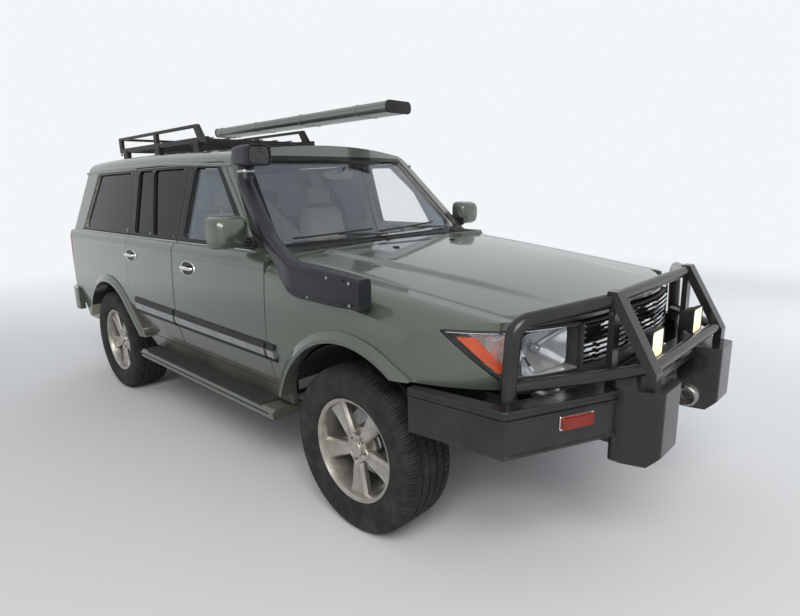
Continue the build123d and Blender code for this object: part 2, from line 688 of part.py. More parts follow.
# Front bar: folded plate with a top pan, two front pods, sloping uprights and tube hoops
# Plan outlines as (behind, x)
BAR_PLAN = [
    (-1060.0, 0.0),
    (-1060.0, 374.0),
    (-812.0, 928.0),
    (BAR_WING_REAR, 968.0),
    (BAR_WING_REAR, 925.0),
    (-760.0, 880.0),
    (-930.0, 400.0),
    (-930.0, 0.0),
]
POD_PLAN = [
    (-FRONT_REACH, 262.0),
    (-FRONT_REACH, 448.0),
    (-1040.0, 486.0),
    (-980.0, 486.0),
    (-980.0, 240.0),
    (-1060.0, 240.0),
]
POD_LOW = 530.0
POD_HIGH = 824.0
POD_ROUND = 26.0
POD_FOOT_BEVEL = 44.0
PAN = 30.0
BAR_LOW = 632.0
WINCH_HALF = 236.0            # gap in the bar for the winch
HOOP_X = 410.0
HOOP_TOP_Z = 1142.0
HOOP_TOP = -945.0
# Side outlines of the flat uprights, as (behind, z)
UPRIGHT_SIDE = [
    (-1126.0, 800.0),
    (-1128.0, 886.0),
    (-966.0, 1170.0),
    (-930.0, 1170.0),
    (-930.0, 1128.0),
    (-950.0, 1128.0),
    (-1094.0, 872.0),
    (-1092.0, 800.0),
]
UPRIGHT_HALF = 31.0
SUPPORT_SIDE = [(-962.0, 790.0), (-962.0, 1150.0), (-938.0, 1150.0), (-938.0, 790.0)]
SUPPORT_HALF = 26.0
# Tube routes as (x, behind, z)
OUTER_HOOP = [(HOOP_X, -940.0, 1132.0), (812.0, -768.0, 1095.0), (846.0, -768.0, 790.0)]
LOWER_TUBE = [(HOOP_X, -1084.0, 892.0), (835.0, -768.0, 862.0)]
HOOP_BEND = 75.0
# Cross tubes: behind, z
CROSS_TUBES = [(HOOP_TOP, HOOP_TOP_Z), (-1094.0, 892.0)]


def tube(corners, radius, bend):
    """Round bar along straight runs joined by bends; corners are (x, behind, z)."""
    points = [(x, behind(t), z) for x, t, z in corners]
    with BuildPart() as bar:
        with BuildLine() as path:
            if len(points) > 2:
                FilletPolyline(*points, radius=bend)
            else:
                Polyline(*points)
        with BuildSketch(Plane(origin=path.line @ 0, z_dir=path.line % 0)):
            Circle(radius)
        sweep(path=path.line)
    return bar.part


def plan_plate(outline, low, high, radius=0.0):
    """Plate between two heights from a plan outline of (behind, x) corners."""
    with BuildPart() as plate:
        with BuildSketch(Plane.XY.offset(low)):
            with BuildLine():
                Polyline(*[(x, behind(t)) for t, x in outline], close=True)
            make_face()
            if radius:
                fillet(vertices(), radius)
        extrude(amount=high - low)
    return plate.part


def side_plate(outline, x, half):
    """Plate across X from a side outline of (behind, z) corners."""
    with BuildPart() as plate:
        with BuildSketch(Plane.YZ.offset(x)):
            with BuildLine():
                Polyline(*[(behind(t), z) for t, z in outline], close=True)
            make_face()
        extrude(amount=half, both=True)
    return plate.part


bar_shell = plan_plate(BAR_PLAN, BAR_LOW, BAR_TOP_Z)
foot_corner = [
    (POD_PLAN[0][0] - 1, POD_LOW - 1),
    (POD_PLAN[0][0] + POD_FOOT_BEVEL, POD_LOW - 1),
    (POD_PLAN[0][0] - 1, POD_LOW + POD_FOOT_BEVEL),
]
with BuildPart() as bar_pod:
    add(plan_plate(POD_PLAN, POD_LOW, POD_HIGH, POD_ROUND))
    add(side_plate(foot_corner, 0, BODY_HALF), mode=Mode.SUBTRACT)
hoop_pieces = [
    side_plate(UPRIGHT_SIDE, HOOP_X, UPRIGHT_HALF),
    side_plate(SUPPORT_SIDE, HOOP_X, SUPPORT_HALF),
    tube(OUTER_HOOP, TUBE / 2, HOOP_BEND),
    tube(LOWER_TUBE, TUBE / 2 - 6, 0),
]
with BuildPart() as front_bar:
    add(bar_shell)
    add(block((0, -1200, BAR_LOW - 1), (WINCH_HALF, -900, BAR_TOP_Z - PAN)), mode=Mode.SUBTRACT)
    add(bar_pod.part)
    for hoop_piece in hoop_pieces:
        add(hoop_piece)
    for t, z in CROSS_TUBES:
        with BuildSketch(Plane.YZ):
            with Locations((behind(t), z)):
                Circle(TUBE / 2 - 5)
        extrude(amount=HOOP_X)
    add(block((RAIL_HALF - 60, -960, 560), (RAIL_HALF - 20, -760, 650)))
    mirror(about=Plane.YZ)
save(front_bar, "front_bar")

# Winch drum, fairlead and hook in the gap between the pods
DRUM_RADIUS = 48.0
DRUM_HALF = 150.0
DRUM_BEHIND = -945.0
DRUM_Z = 700.0
FAIRLEAD_FRONT = -1010.0
HOOK_SHANK = [(-1005.0, 700.0), (-1078.0, 704.0), (-1078.0, 682.0), (-1005.0, 686.0)]
HOOK_CENTRE = (-1112.0, 680.0)
HOOK_RADIUS = 45.0
HOOK_THICK = 20.0
with BuildPart() as winch:
    add(block((-180, FAIRLEAD_FRONT, 640), (180, FAIRLEAD_FRONT + 25, BAR_TOP_Z - PAN)))
    with BuildSketch(Plane.YZ.offset(-DRUM_HALF)):
        with Locations((behind(DRUM_BEHIND), DRUM_Z)):
            Circle(DRUM_RADIUS)
    extrude(amount=2 * DRUM_HALF)
    add(block((-DRUM_HALF, FAIRLEAD_FRONT + 20, 690), (DRUM_HALF, DRUM_BEHIND + 5, 710)))
    with BuildSketch(Plane.YZ.offset(-HOOK_THICK / 2)):
        with BuildLine():
            Polyline(*[(behind(t), z) for t, z in HOOK_SHANK], close=True)
        make_face()
        with Locations((behind(HOOK_CENTRE[0]), HOOK_CENTRE[1])):
            Circle(HOOK_RADIUS)
            Circle(HOOK_RADIUS - HOOK_THICK, mode=Mode.SUBTRACT)
    extrude(amount=HOOK_THICK)
save(winch, "winch")

# Lamps on the bar
SPOT_X = 245.0
SPOT_FRONT = -1060.0
SPOT_Z = 948.0
SPOT_WIDE = 128.0
SPOT_HIGH = 118.0
SPOT_DEPTH = 70.0
with BuildPart() as driving_lights:
    for side in (-1, 1):
        with BuildSketch(across(SPOT_FRONT)):
            with Locations((side * SPOT_X, SPOT_Z)):
                RectangleRounded(SPOT_WIDE, SPOT_HIGH, 30)
        extrude(amount=-SPOT_DEPTH)
        add(block((side * (SPOT_X - 16), -1040, BAR_TOP_Z), (side * (SPOT_X + 16), -1004, SPOT_Z - 40)))
    add(bar_pod.part, mode=Mode.SUBTRACT)
    add(mirror(bar_pod.part, about=Plane.YZ), mode=Mode.SUBTRACT)
save(driving_lights, "driving_lights")
MARKER_X = 651.0
MARKER_BEHIND = -936.0
MARKER_Z = 730.0
face_run = (BAR_PLAN[2][1] - BAR_PLAN[1][1], BAR_PLAN[2][0] - BAR_PLAN[1][0])
with BuildPart() as marker_lamps:
    for side in (-1, 1):
        corner = Plane(
            origin=(side * MARKER_X, behind(MARKER_BEHIND), MARKER_Z),
            x_dir=Vector(face_run[0], side * face_run[1], 0).normalized(),
            z_dir=Vector(side * face_run[1], -face_run[0], 0).normalized(),
        )
        with BuildSketch(corner.offset(1)):
            Rectangle(150, 52)
        extrude(amount=10)
save(marker_lamps, "marker_lamps")

# Snorkel: a flat box along the right wing, a riser up the pillar, and a head that faces forward
# Side outline as (behind, z) and front outline as (x, z); the body is what both outlines share
SNORKEL_SIDE = [
    (-170.0, 1070.0),
    (-170.0, 1216.0),
    (395.0, 1250.0),
    (600.0, 1325.0),
    (938.0, 1600.0),
    (938.0, 1650.0),
    (1032.0, 1650.0),
    (1032.0, 1596.0),
    (700.0, 1310.0),
    (560.0, 1200.0),
    (330.0, 1078.0),
]
SNORKEL_FRONT = [
    (-1003.0, 1040.0),
    (-1000.0, 1215.0),
    (-893.0, 1322.0),
    (-806.0, 1660.0),
    (-722.0, 1660.0),
    (-812.0, 1322.0),
    (-918.0, 1215.0),
    (-920.0, 1040.0),
]
NECK_X = -762.0
NECK_BEHIND = 985.0
NECK_LOW = 1620.0
NECK_RADIUS = 47.0
HEAD_X = -752.0
HEAD_LOW = 1684.0
HEAD_HIGH = 1796.0
HEAD_FRONT = 850.0
HEAD_REAR = 1050.0
HEAD_WIDE = 144.0
HEAD_ROUND = 34.0
HEAD_WALL = 6.0
MOUTH_DEPTH = 90.0
snorkel_front = across(-200)
head_z = (HEAD_LOW + HEAD_HIGH) / 2
head_high = HEAD_HIGH - HEAD_LOW
with BuildPart() as snorkel_band:
    with BuildSketch(snorkel_front):
        with BuildLine():
            Polyline(*SNORKEL_FRONT, close=True)
        make_face()
    extrude(amount=-1300)
with BuildPart() as snorkel:
    add(side_prism(SNORKEL_SIDE, -1, radius=22))
    add(snorkel_band.part, mode=Mode.INTERSECT)
    with BuildSketch(Plane(origin=(NECK_X, behind(NECK_BEHIND), NECK_LOW))):
        Circle(NECK_RADIUS)
    extrude(amount=HEAD_LOW + 8 - NECK_LOW)
    with BuildSketch(across(HEAD_FRONT)):
        with Locations((HEAD_X, head_z)):
            RectangleRounded(HEAD_WIDE, head_high, HEAD_ROUND)
    extrude(amount=-(HEAD_REAR - HEAD_FRONT), taper=5)
    with BuildSketch(across(HEAD_FRONT)):
        with Locations((HEAD_X, head_z)):
            RectangleRounded(HEAD_WIDE - 2 * HEAD_WALL, head_high - 2 * HEAD_WALL, HEAD_ROUND - HEAD_WALL)
    extrude(amount=-MOUTH_DEPTH, taper=5, mode=Mode.SUBTRACT)
    add(nose_outer, mode=Mode.SUBTRACT)
    add(outer, mode=Mode.SUBTRACT)
save(snorkel, "snorkel")

# Door mirrors, each on its front door
MIRROR_CENTRE = (996.0, 812.0, 1350.0)
MIRROR_SIZE = (196.0, 104.0, 138.0)
MIRROR_ROUND = 38.0
with BuildPart() as mirror_left:
    with BuildSketch(across(MIRROR_CENTRE[1] + MIRROR_SIZE[1] / 2)):
        with Locations((MIRROR_CENTRE[0], MIRROR_CENTRE[2])):
            RectangleRounded(MIRROR_SIZE[0], MIRROR_SIZE[2], MIRROR_ROUND)
    extrude(amount=MIRROR_SIZE[1], taper=14)
    add(block((870, 806, 1256), (960, 850, 1300)))
    add(outer, mode=Mode.SUBTRACT)
save_pair(mirror_left, "mirror")

# Roof rack: tray with cross slats, a raised side rail on sloping posts, and feet to the gutters
RACK_HALF = 470.0
RACK_FRONT = 1960.0
RACK_REAR = 3560.0
RACK_Z = 1905.0
RACK_RAIL_Z = 2018.0
RACK_BAR = 26.0
RACK_SLATS = 9
SLAT_HALF = 20.0
RACK_POSTS = [2800.0, 3535.0]
RACK_NOSE = [(2000.0, RACK_Z), (2086.0, RACK_RAIL_Z), (2150.0, RACK_RAIL_Z), (2080.0, RACK_Z)]
RACK_FEET = [2120.0, 2780.0, 3440.0]
with BuildPart() as rack:
    for side in (-1, 1):
        out = side * RACK_HALF
        within = side * (RACK_HALF - RACK_BAR)
        add(block((out, RACK_FRONT, RACK_Z - 14), (within, RACK_REAR, RACK_Z + 22)))
        add(block((out, RACK_NOSE[1][0], RACK_RAIL_Z - 20), (within, RACK_REAR, RACK_RAIL_Z)))
        add(side_plate(RACK_NOSE, (out + within) / 2, RACK_BAR / 2))
        for t in RACK_POSTS:
            add(block((out, t - 26, RACK_Z), (within, t + 26, RACK_RAIL_Z)))
        for t in RACK_FEET:
            add(block((out + side * 4, t - 40, RACK_FOOT_Z), (within - side * 8, t + 40, RACK_Z)))
    for row in range(RACK_SLATS):
        t = RACK_FRONT + SLAT_HALF + row * (RACK_REAR - RACK_FRONT - 2 * SLAT_HALF) / (RACK_SLATS - 1)
        add(block((-RACK_HALF + 4, t - SLAT_HALF, RACK_Z - 8), (RACK_HALF - 4, t + SLAT_HALF, RACK_Z + 8)))
    add(block((-RACK_HALF, RACK_REAR - RACK_BAR, RACK_RAIL_Z - 20), (RACK_HALF, RACK_REAR, RACK_RAIL_Z)))
    add(outer, mode=Mode.SUBTRACT)
save(rack, "roof_rack")

# Folded awning in its flat aluminium case over the left rail, with the brackets that hold it
AWNING_X = 562.0
AWNING_Z = 2108.0
AWNING_FRONT = 1100.0
AWNING_REAR = 3500.0
AWNING_WIDE = 252.0
AWNING_HIGH = 84.0
AWNING_ROUND = 34.0
AWNING_BRACKETS = [2120.0, 2800.0, 3420.0]
with BuildPart() as awning:
    with BuildSketch(across(AWNING_FRONT)):
        with Locations((AWNING_X, AWNING_Z)):
            RectangleRounded(AWNING_WIDE, AWNING_HIGH, AWNING_ROUND)
    extrude(amount=-(AWNING_REAR - AWNING_FRONT))
    for t in AWNING_BRACKETS:
        add(block((RACK_HALF, t - 25, RACK_RAIL_Z - 60), (RACK_HALF + 8, t + 25, AWNING_Z)))
save(awning, "awning_case")

# Running boards with brackets to the rails
BOARD_FRONT = 520.0
BOARD_REAR = 2190.0
BOARD_OUTER = 1002.0
BOARD_INNER = 800.0
BOARD_TOP = 462.0
BOARD_DEPTH = 52.0
BOARD_BRACKETS = [640.0, 1320.0, 1880.0]
BRACKET_HALF = 25.0
BRACKET_LOW = SILL_Z - 22
with BuildPart() as boards:
    for side in (-1, 1):
        with BuildSketch(across(BOARD_FRONT)):
            with BuildLine():
                Polyline(
                    (side * BOARD_INNER, BOARD_TOP - 6),
                    (side * (BOARD_OUTER - 22), BOARD_TOP),
                    (side * BOARD_OUTER, BOARD_TOP - 16),
                    (side * (BOARD_OUTER - 8), BOARD_TOP - BOARD_DEPTH),
                    (side * (BOARD_INNER + 20), BOARD_TOP - BOARD_DEPTH + 6),
                    close=True,
                )
            make_face()
        extrude(amount=-(BOARD_REAR - BOARD_FRONT))
        rail_in = side * (RAIL_HALF - 40)
        rail_out = side * (RAIL_HALF - 10)
        for t in BOARD_BRACKETS:
            front, rear = t - BRACKET_HALF, t + BRACKET_HALF
            add(block((rail_in, front, BRACKET_LOW), (side * (BOARD_INNER + 30), rear, SILL_Z - 6)))
            add(block((rail_in, front, BRACKET_LOW), (rail_out, rear, RAIL_LOW_Z)))
save(boards, "running_boards")

# Rear bumper and tow receiver
BUMPER_REAR = REAR_AXLE + REAR_REACH
BUMPER_INNER = 3920.0
BUMPER_HALF = 948.0
RECEIVER_INNER = 51.0
RECEIVER_WALL = 6.5
RECEIVER_Z = 500.0
RECEIVER_FRONT = 3740.0
RECEIVER_REAR = 3960.0
PIN_BEHIND = 3910.0
HITCH_PIN = 8.0
HITCH_BAR = (3716.0, 3776.0)
tube_half = RECEIVER_INNER / 2 + RECEIVER_WALL
bore_half = RECEIVER_INNER / 2
with BuildPart() as rear_bumper:
    with BuildSketch(Plane.XY.offset(BUMPER_LOW)):
        with BuildLine():
            Polyline((0, behind(BUMPER_REAR)), (640, behind(BUMPER_REAR - 10)))
            ThreePointArc(
                (640, behind(BUMPER_REAR - 10)),
                (890, behind(3880)),
                (BUMPER_HALF, behind(BUMPER_FRONT)),
            )
            Polyline(
                (BUMPER_HALF, behind(BUMPER_FRONT)),
                (BUMPER_HALF - 43, behind(BUMPER_FRONT)),
                (840, behind(BUMPER_INNER)),
                (0, behind(BUMPER_INNER)),
            )
            mirror(about=Plane.YZ)
        make_face()
    extrude(amount=BUMPER_HIGH - BUMPER_LOW)
    with Locations((0, behind(BUMPER_INNER + 35), RECEIVER_Z + 40)):
        Box(RECEIVER_INNER + 2 * RECEIVER_WALL, 90, 100, mode=Mode.SUBTRACT)
save(rear_bumper, "rear_bumper")
with BuildPart() as receiver:
    add(block((-RAIL_HALF, HITCH_BAR[0], RECEIVER_Z - tube_half), (RAIL_HALF, HITCH_BAR[1], RECEIVER_Z + 45)))
    socket_low = RECEIVER_Z - tube_half
    add(block((-tube_half, HITCH_BAR[0], socket_low), (tube_half, RECEIVER_REAR, RECEIVER_Z + tube_half)))
    shank_room = block(
        (-bore_half, RECEIVER_FRONT, RECEIVER_Z - bore_half),
        (bore_half, RECEIVER_REAR + 1, RECEIVER_Z + bore_half),
    )
    add(shank_room, mode=Mode.SUBTRACT)
    with BuildSketch(Plane.YZ.offset(-60)):
        with Locations((behind(PIN_BEHIND), RECEIVER_Z)):
            Circle(HITCH_PIN)
    extrude(amount=120, mode=Mode.SUBTRACT)
save(receiver, "tow_receiver")

# Seats: cushion, leaning back, headrest and floor runners
SEAT_X = 400.0
SEAT_HALF = 250.0
BACK_HALF = 240.0
SEAT_LOW = 760.0
SEAT_TOP = 900.0
BACK_TOP = 1410.0
# Side outlines of the backs, as (behind, z)
FRONT_BACK = [(1690.0, SEAT_TOP), (1810.0, BACK_TOP), (1920.0, BACK_TOP), (1810.0, SEAT_TOP)]
RUNNER_X = 180.0
with BuildPart() as front_seats:
    for side in (-1, 1):
        middle = side * SEAT_X
        add(block((middle - SEAT_HALF, 1240, SEAT_LOW), (middle + SEAT_HALF, 1760, SEAT_TOP)))
        add(side_plate(FRONT_BACK, middle, BACK_HALF))
        add(block((middle - 130, 1830, BACK_TOP), (middle + 130, 1915, BACK_TOP + 150)))
        for x in (middle - RUNNER_X, middle + RUNNER_X):
            add(block((x - 20, 1290, FLOOR_Z), (x + 20, 1700, SEAT_LOW)))
save(front_seats, "front_seats")
BENCH_HALF = 620.0
BENCH_LOW = 780.0
BENCH_TOP = 930.0
REAR_BACK = [(2500.0, BENCH_TOP), (2600.0, 1400.0), (2710.0, 1400.0), (2620.0, BENCH_TOP)]
REST_X = 430.0
with BuildPart() as rear_seat:
    add(block((-BENCH_HALF, 2080, BENCH_LOW), (BENCH_HALF, 2560, BENCH_TOP)))
    add(side_plate(REAR_BACK, 0, BENCH_HALF))
    for x in (-REST_X, REST_X):
        add(block((x - 125, 2615, REAR_BACK[1][1]), (x + 125, 2700, REAR_BACK[1][1] + 140)))
    add(block((-560, 2100, FLOOR_Z), (560, 2160, BENCH_LOW)))
save(rear_seat, "rear_seat")

# Dashboard with its centre console, and the steering wheel
DASH_HALF = 780.0
DASH_LOW = 860.0
DASH_SIDE = [
    (DOOR_FRONT, DASH_LOW),
    (DOOR_FRONT, 1170.0),
    (770.0, 1174.0),
    (810.0, 1212.0),
    (930.0, 1196.0),
    (985.0, 1080.0),
    (900.0, DASH_LOW),
]
CONSOLE_HALF = 120.0
CONSOLE_REAR = 1700.0
with BuildPart() as dashboard:
    add(side_plate(DASH_SIDE, 0, DASH_HALF))
    add(block((-CONSOLE_HALF, 800, FLOOR_Z), (CONSOLE_HALF, CONSOLE_REAR, DASH_LOW + 6)))
save(dashboard, "dashboard")
WHEEL_TILT = 24.0
STEERING_RADIUS = 192.0
STEERING_RIM = 26.0
STEERING_THICK = 24.0
BOSS_RADIUS = 62.0
COLUMN_RADIUS = 34.0
steering_centre = Vector(SEAT_X, behind(1085), 1120)
column_way = Vector(0, math.cos(math.radians(WHEEL_TILT)), math.sin(math.radians(WHEEL_TILT)))
with BuildPart() as steering_wheel:
    with BuildSketch(Plane(origin=steering_centre, x_dir=(1, 0, 0), z_dir=column_way)):
        Circle(STEERING_RADIUS)
        Circle(STEERING_RADIUS - STEERING_RIM, mode=Mode.SUBTRACT)
        Circle(BOSS_RADIUS)
        Rectangle(2 * (STEERING_RADIUS - STEERING_RIM) + 8, 44)
        with Locations((0, (BOSS_RADIUS - STEERING_RADIUS) * 0.7)):
            Rectangle(44, STEERING_RADIUS - STEERING_RIM + 4)
    extrude(amount=STEERING_THICK)
    with BuildSketch(Plane(origin=steering_centre, x_dir=(1, 0, 0), z_dir=-column_way)):
        Circle(COLUMN_RADIUS)
    extrude(amount=130)
    add(dashboard.part, mode=Mode.SUBTRACT)
save(steering_wheel, "steering_wheel")

# Engine as one plain block, and the driveline under the floor
with BuildPart() as engine:
    add(block((-300, -280, 560), (300, 420, 1050)))
save(engine, "engine")
PROP_RADIUS = 38.0
FRONT_PROP_RADIUS = 28.0
# Gearbox and transfer case, each as lowest and highest corner (x, behind, z)
GEAR_CASES = [
    ((-150.0, 620.0, 400.0), (150.0, 1240.0, 596.0)),
    ((-60.0, 1240.0, 420.0), (300.0, 1500.0, 560.0)),
]
with BuildPart() as driveline:
    for low, high in GEAR_CASES:
        add(block(low, high))
    add(tube([(0, 1500, 490), (0, REAR_AXLE - 130, 430)], PROP_RADIUS, 0))
    add(tube([(200, 1250, 450), (200, 250, 400)], FRONT_PROP_RADIUS, 0))
save(driveline, "driveline")
EXHAUST_X = -230.0
PIPE_RADIUS = 32.0
MUFFLER = (105.0, 68.0, 520.0)  # half width, half height, length
with BuildPart() as exhaust:
    add(tube([(EXHAUST_X, 700, 430), (EXHAUST_X, 2300, 436)], PIPE_RADIUS, 0))
    with BuildSketch(across(1500)):
        with Locations((EXHAUST_X, 432)):
            Ellipse(MUFFLER[0], MUFFLER[1])
    extrude(amount=-MUFFLER[2])
save(exhaust, "exhaust")
with BuildPart() as fuel_tank:
    with BuildSketch(Plane.XY.offset(SILL_Z + 2)):
        with Locations((560, behind(1850))):
            RectangleRounded(200, 640, 40)
    extrude(amount=FLOOR_Z - PAN_THICK - SILL_Z - 4)
save(fuel_tank, "fuel_tank")

# Front suspension: arms each side from the rails, cradle with the differential
KING_X = 752.0                # steering axis
KING_LOW = 290.0
KING_HIGH = 560.0
PIVOT_GAP = 6.0
HUB_FACE = 770.0              # inner face of the brake disc
DISC_RADIUS = 168.0
DISC_THICK = 24.0
ARM_THICK = 36.0
UPPER_ARM_THICK = 22.0
CRADLE_HALF = 300.0
LOWER_ARM_IN = 250.0
# Plan outlines of the arms, as (x, behind)
LOWER_ARM = [
    (LOWER_ARM_IN, -190.0),
    (640.0, -52.0),
    (KING_X, -18.0),
    (KING_X, 18.0),
    (640.0, 56.0),
    (LOWER_ARM_IN, 210.0),
    (LOWER_ARM_IN, 130.0),
    (560.0, 0.0),
    (LOWER_ARM_IN, -110.0),
]
UPPER_ARM = [(RAIL_HALF, -80.0), (KING_X + 8, -26.0), (KING_X + 8, 26.0), (RAIL_HALF, 80.0)]
lower_arm_z = KING_LOW - ARM_THICK / 2
upper_arm_z = KING_HIGH + 12
with BuildPart() as front_arms:
    add(block((-CRADLE_HALF, -120, 330), (CRADLE_HALF, 170, 470)))
    add(block((-RAIL_HALF + 30, -60, 440), (RAIL_HALF - 30, 60, 498)))
    for side in (-1, 1):
        lower_plan = [(t, side * x) for x, t in LOWER_ARM]
        upper_plan = [(t, side * x) for x, t in UPPER_ARM]
        add(plan_plate(lower_plan, lower_arm_z, lower_arm_z + ARM_THICK))
        add(plan_plate(upper_plan, upper_arm_z, upper_arm_z + UPPER_ARM_THICK))
        add(block((side * LOWER_ARM_IN, -190, lower_arm_z), (side * CRADLE_HALF, 210, 345)))
save(front_arms, "front_suspension")
knuckle_in = KING_X - 34
knuckle_out = HUB_FACE - PIVOT_GAP
with BuildPart() as knuckle:
    knuckle_low = lower_arm_z + ARM_THICK + PIVOT_GAP
    add(block((knuckle_in, -36, knuckle_low), (knuckle_out, 36, upper_arm_z - PIVOT_GAP)))
    with BuildSketch(Plane.YZ.offset(knuckle_in - 6)):
        with Locations((behind(0), TYRE_RADIUS)):
            Circle(74)
    extrude(amount=knuckle_out - knuckle_in + 6)
    add(block((KING_X - 14, 30, TYRE_RADIUS - 50), (knuckle_out, 170, TYRE_RADIUS + 50)))
save_pair(knuckle, "knuckle")

# Rear axle: beam with its differential, trailing links and coil springs
AXLE_TUBE = 44.0
DIFF_RADIUS = 142.0
LINK_X = 390.0
LINK_FRONT = 1950.0
LINK_RADIUS = 26.0
SPRING_X = 500.0
SPRING_RADIUS = 62.0
with BuildPart() as rear_axle:
    with BuildSketch(Plane.YZ.offset(PIVOT_GAP - HUB_FACE)):
        with Locations((behind(REAR_AXLE), TYRE_RADIUS)):
            Circle(AXLE_TUBE)
    extrude(amount=2 * (HUB_FACE - PIVOT_GAP))
    with BuildSketch(across(REAR_AXLE - 118)):
        with Locations((0, TYRE_RADIUS)):
            Circle(DIFF_RADIUS)
    extrude(amount=-166)
    for side in (-1, 1):
        add(tube([(side * LINK_X, REAR_AXLE, 350), (side * LINK_X, LINK_FRONT, 446)], LINK_RADIUS, 0))
        with BuildSketch(Plane.XY.offset(TYRE_RADIUS + 20)):
            with Locations((side * SPRING_X, behind(REAR_AXLE))):
                Circle(SPRING_RADIUS)
                Circle(SPRING_RADIUS - 18, mode=Mode.SUBTRACT)
        extrude(amount=300)
        link_foot = side * (LINK_X - 20)
        add(block((link_foot, LINK_FRONT - 25, 440), (side * (LINK_X + 20), LINK_FRONT + 25, RAIL_LOW_Z)))
save(rear_axle, "rear_axle")

# Wheels. Tyre profile: distance from the wheel's middle plane, radius
BEAD_HALF = RIM_WIDTH / 2
TREAD_HALF = 118.0
TYRE_PROFILE = [
    (BEAD_HALF, RIM_RADIUS),
    (BEAD_HALF, RIM_LIP + 2),
    (BEAD_HALF + 14, RIM_LIP + 16),
    (TYRE_WIDTH / 2, RIM_LIP + 72),
    (TYRE_WIDTH / 2 - 4, TYRE_RADIUS - 32),
    (TREAD_HALF, TYRE_RADIUS - 8),
    (TREAD_HALF - 22, TYRE_RADIUS),
]
SPOKES = 5
SPOKE_REACH = 221.0
SPOKE_THICK = 34.0
SPOKE_ROOT = (60.0, 38.0)     # radius, half width
SPOKE_TIP_HALF = 54.0
RIM_SHELL = 8.0
LIP_PROUD = 8.0
HUB_RADIUS = 88.0
HUB_THICK = 52.0
CAP_RADIUS = 36.0
FACE_SET = 20.0               # hub face behind the rim edge
LUG_CIRCLE = 75.0
LUG_POCKET = 15.0
hub_inner = HUB_FACE - WHEEL_X
RIM_PROFILE = [
    (-BEAD_HALF - LIP_PROUD, RIM_LIP),
    (-BEAD_HALF, RIM_LIP),
    (-BEAD_HALF, RIM_RADIUS),
    (BEAD_HALF, RIM_RADIUS),
    (BEAD_HALF, RIM_LIP),
    (BEAD_HALF + LIP_PROUD, RIM_LIP),
    (BEAD_HALF + LIP_PROUD, RIM_RADIUS - 4),
    (BEAD_HALF - 12, RIM_RADIUS - RIM_SHELL),
    (-BEAD_HALF + 12, RIM_RADIUS - RIM_SHELL),
    (-BEAD_HALF - LIP_PROUD, RIM_RADIUS - 4),
]


def turned(profile, axis_plane):
    """Ring turned round the wheel's axle from (distance along the axle, radius) corners."""
    with BuildPart() as ring:
        with BuildSketch(axis_plane):
            with BuildLine():
                Polyline(*profile, close=True)
            make_face()
        revolve(axis=Axis(axis_plane.origin, axis_plane.x_dir))
    return ring.part


def wheel_tyre(axis_plane):
    """Tyre turned round the wheel's axle."""
    return turned(TYRE_PROFILE + [(-w, r) for w, r in reversed(TYRE_PROFILE)], axis_plane)


def wheel_rim(axis_plane):
    """Barrel with lips, five broad spokes that dish inwards, hub with lug pockets and centre cap."""
    face_plane = Plane(origin=axis_plane.origin, x_dir=axis_plane.y_dir, z_dir=axis_plane.x_dir)
    hub_face = BEAD_HALF - FACE_SET
    root, root_half = SPOKE_ROOT
    with BuildPart() as rim:
        add(turned(RIM_PROFILE, axis_plane))
        with BuildSketch(face_plane.offset(hub_face - HUB_THICK)):
            Circle(HUB_RADIUS)
        extrude(amount=HUB_THICK)
        with BuildSketch(face_plane.offset(hub_face)):
            Circle(CAP_RADIUS)
        extrude(amount=14)
        with BuildSketch(face_plane.offset(hub_face - SPOKE_THICK - 4)):
            with PolarLocations(0, SPOKES, start_angle=90):
                Polygon(
                    (root, -root_half),
                    (root, root_half),
                    (SPOKE_REACH, SPOKE_TIP_HALF),
                    (SPOKE_REACH, -SPOKE_TIP_HALF),
                    align=None,
                )
        extrude(amount=SPOKE_THICK)
        with BuildSketch(face_plane.offset(hub_face)):
            with PolarLocations(LUG_CIRCLE, SPOKES, start_angle=90):
                Circle(LUG_POCKET)
        extrude(amount=-34, mode=Mode.SUBTRACT)
        with BuildSketch(face_plane.offset(hub_inner)):
            Circle(70)
        extrude(amount=hub_face - 40 - hub_inner)
        with BuildSketch(face_plane.offset(hub_inner)):
            Circle(DISC_RADIUS)
        extrude(amount=DISC_THICK)
    return rim.part


for axle, station in (("front", 0.0), ("rear", REAR_AXLE)):
    for side, hand in ((-1, "right"), (1, "left")):
        hub = Plane(
            origin=(side * WHEEL_X, behind(station), TYRE_RADIUS),
            x_dir=(side, 0, 0),
            z_dir=(0, -side, 0),
        )
        with BuildPart() as tyre:
            add(wheel_tyre(hub))
        save(tyre, "tyre_" + axle + "_" + hand)
        with BuildPart() as wheel:
            add(wheel_rim(hub))
        save(wheel, "wheel_" + axle + "_" + hand)

# Spare wheel, lying under the rear floor
SPARE_BEHIND = 3312.0
SPARE_Z = 398.0
SPARE_DISC = 60.0
CARRIER_RADIUS = 20.0
CARRIER_TOP = 625.0
spare_hub = Plane(origin=(0, behind(SPARE_BEHIND), SPARE_Z), x_dir=(0, 0, -1), z_dir=(0, 1, 0))
with BuildPart() as spare:
    add(wheel_tyre(spare_hub))
    with BuildSketch(Plane(origin=(0, behind(SPARE_BEHIND), SPARE_Z - SPARE_DISC / 2))):
        Circle(RIM_RADIUS)
    extrude(amount=SPARE_DISC)
    with BuildSketch(Plane(origin=(0, behind(SPARE_BEHIND), SPARE_Z))):
        Circle(CARRIER_RADIUS)
    extrude(amount=CARRIER_TOP - SPARE_Z)
save(spare, "spare_wheel")
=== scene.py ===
"""Looks for the off-road wagon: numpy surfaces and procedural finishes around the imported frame.

Everything is in metres in the row frame: +Z up, the front faces -Y, the vehicle's left is +X.
Tables give stations as distances behind the front axle, as a body drawing does.
"""

import math

import bpy
import numpy as np
from mathutils import Matrix


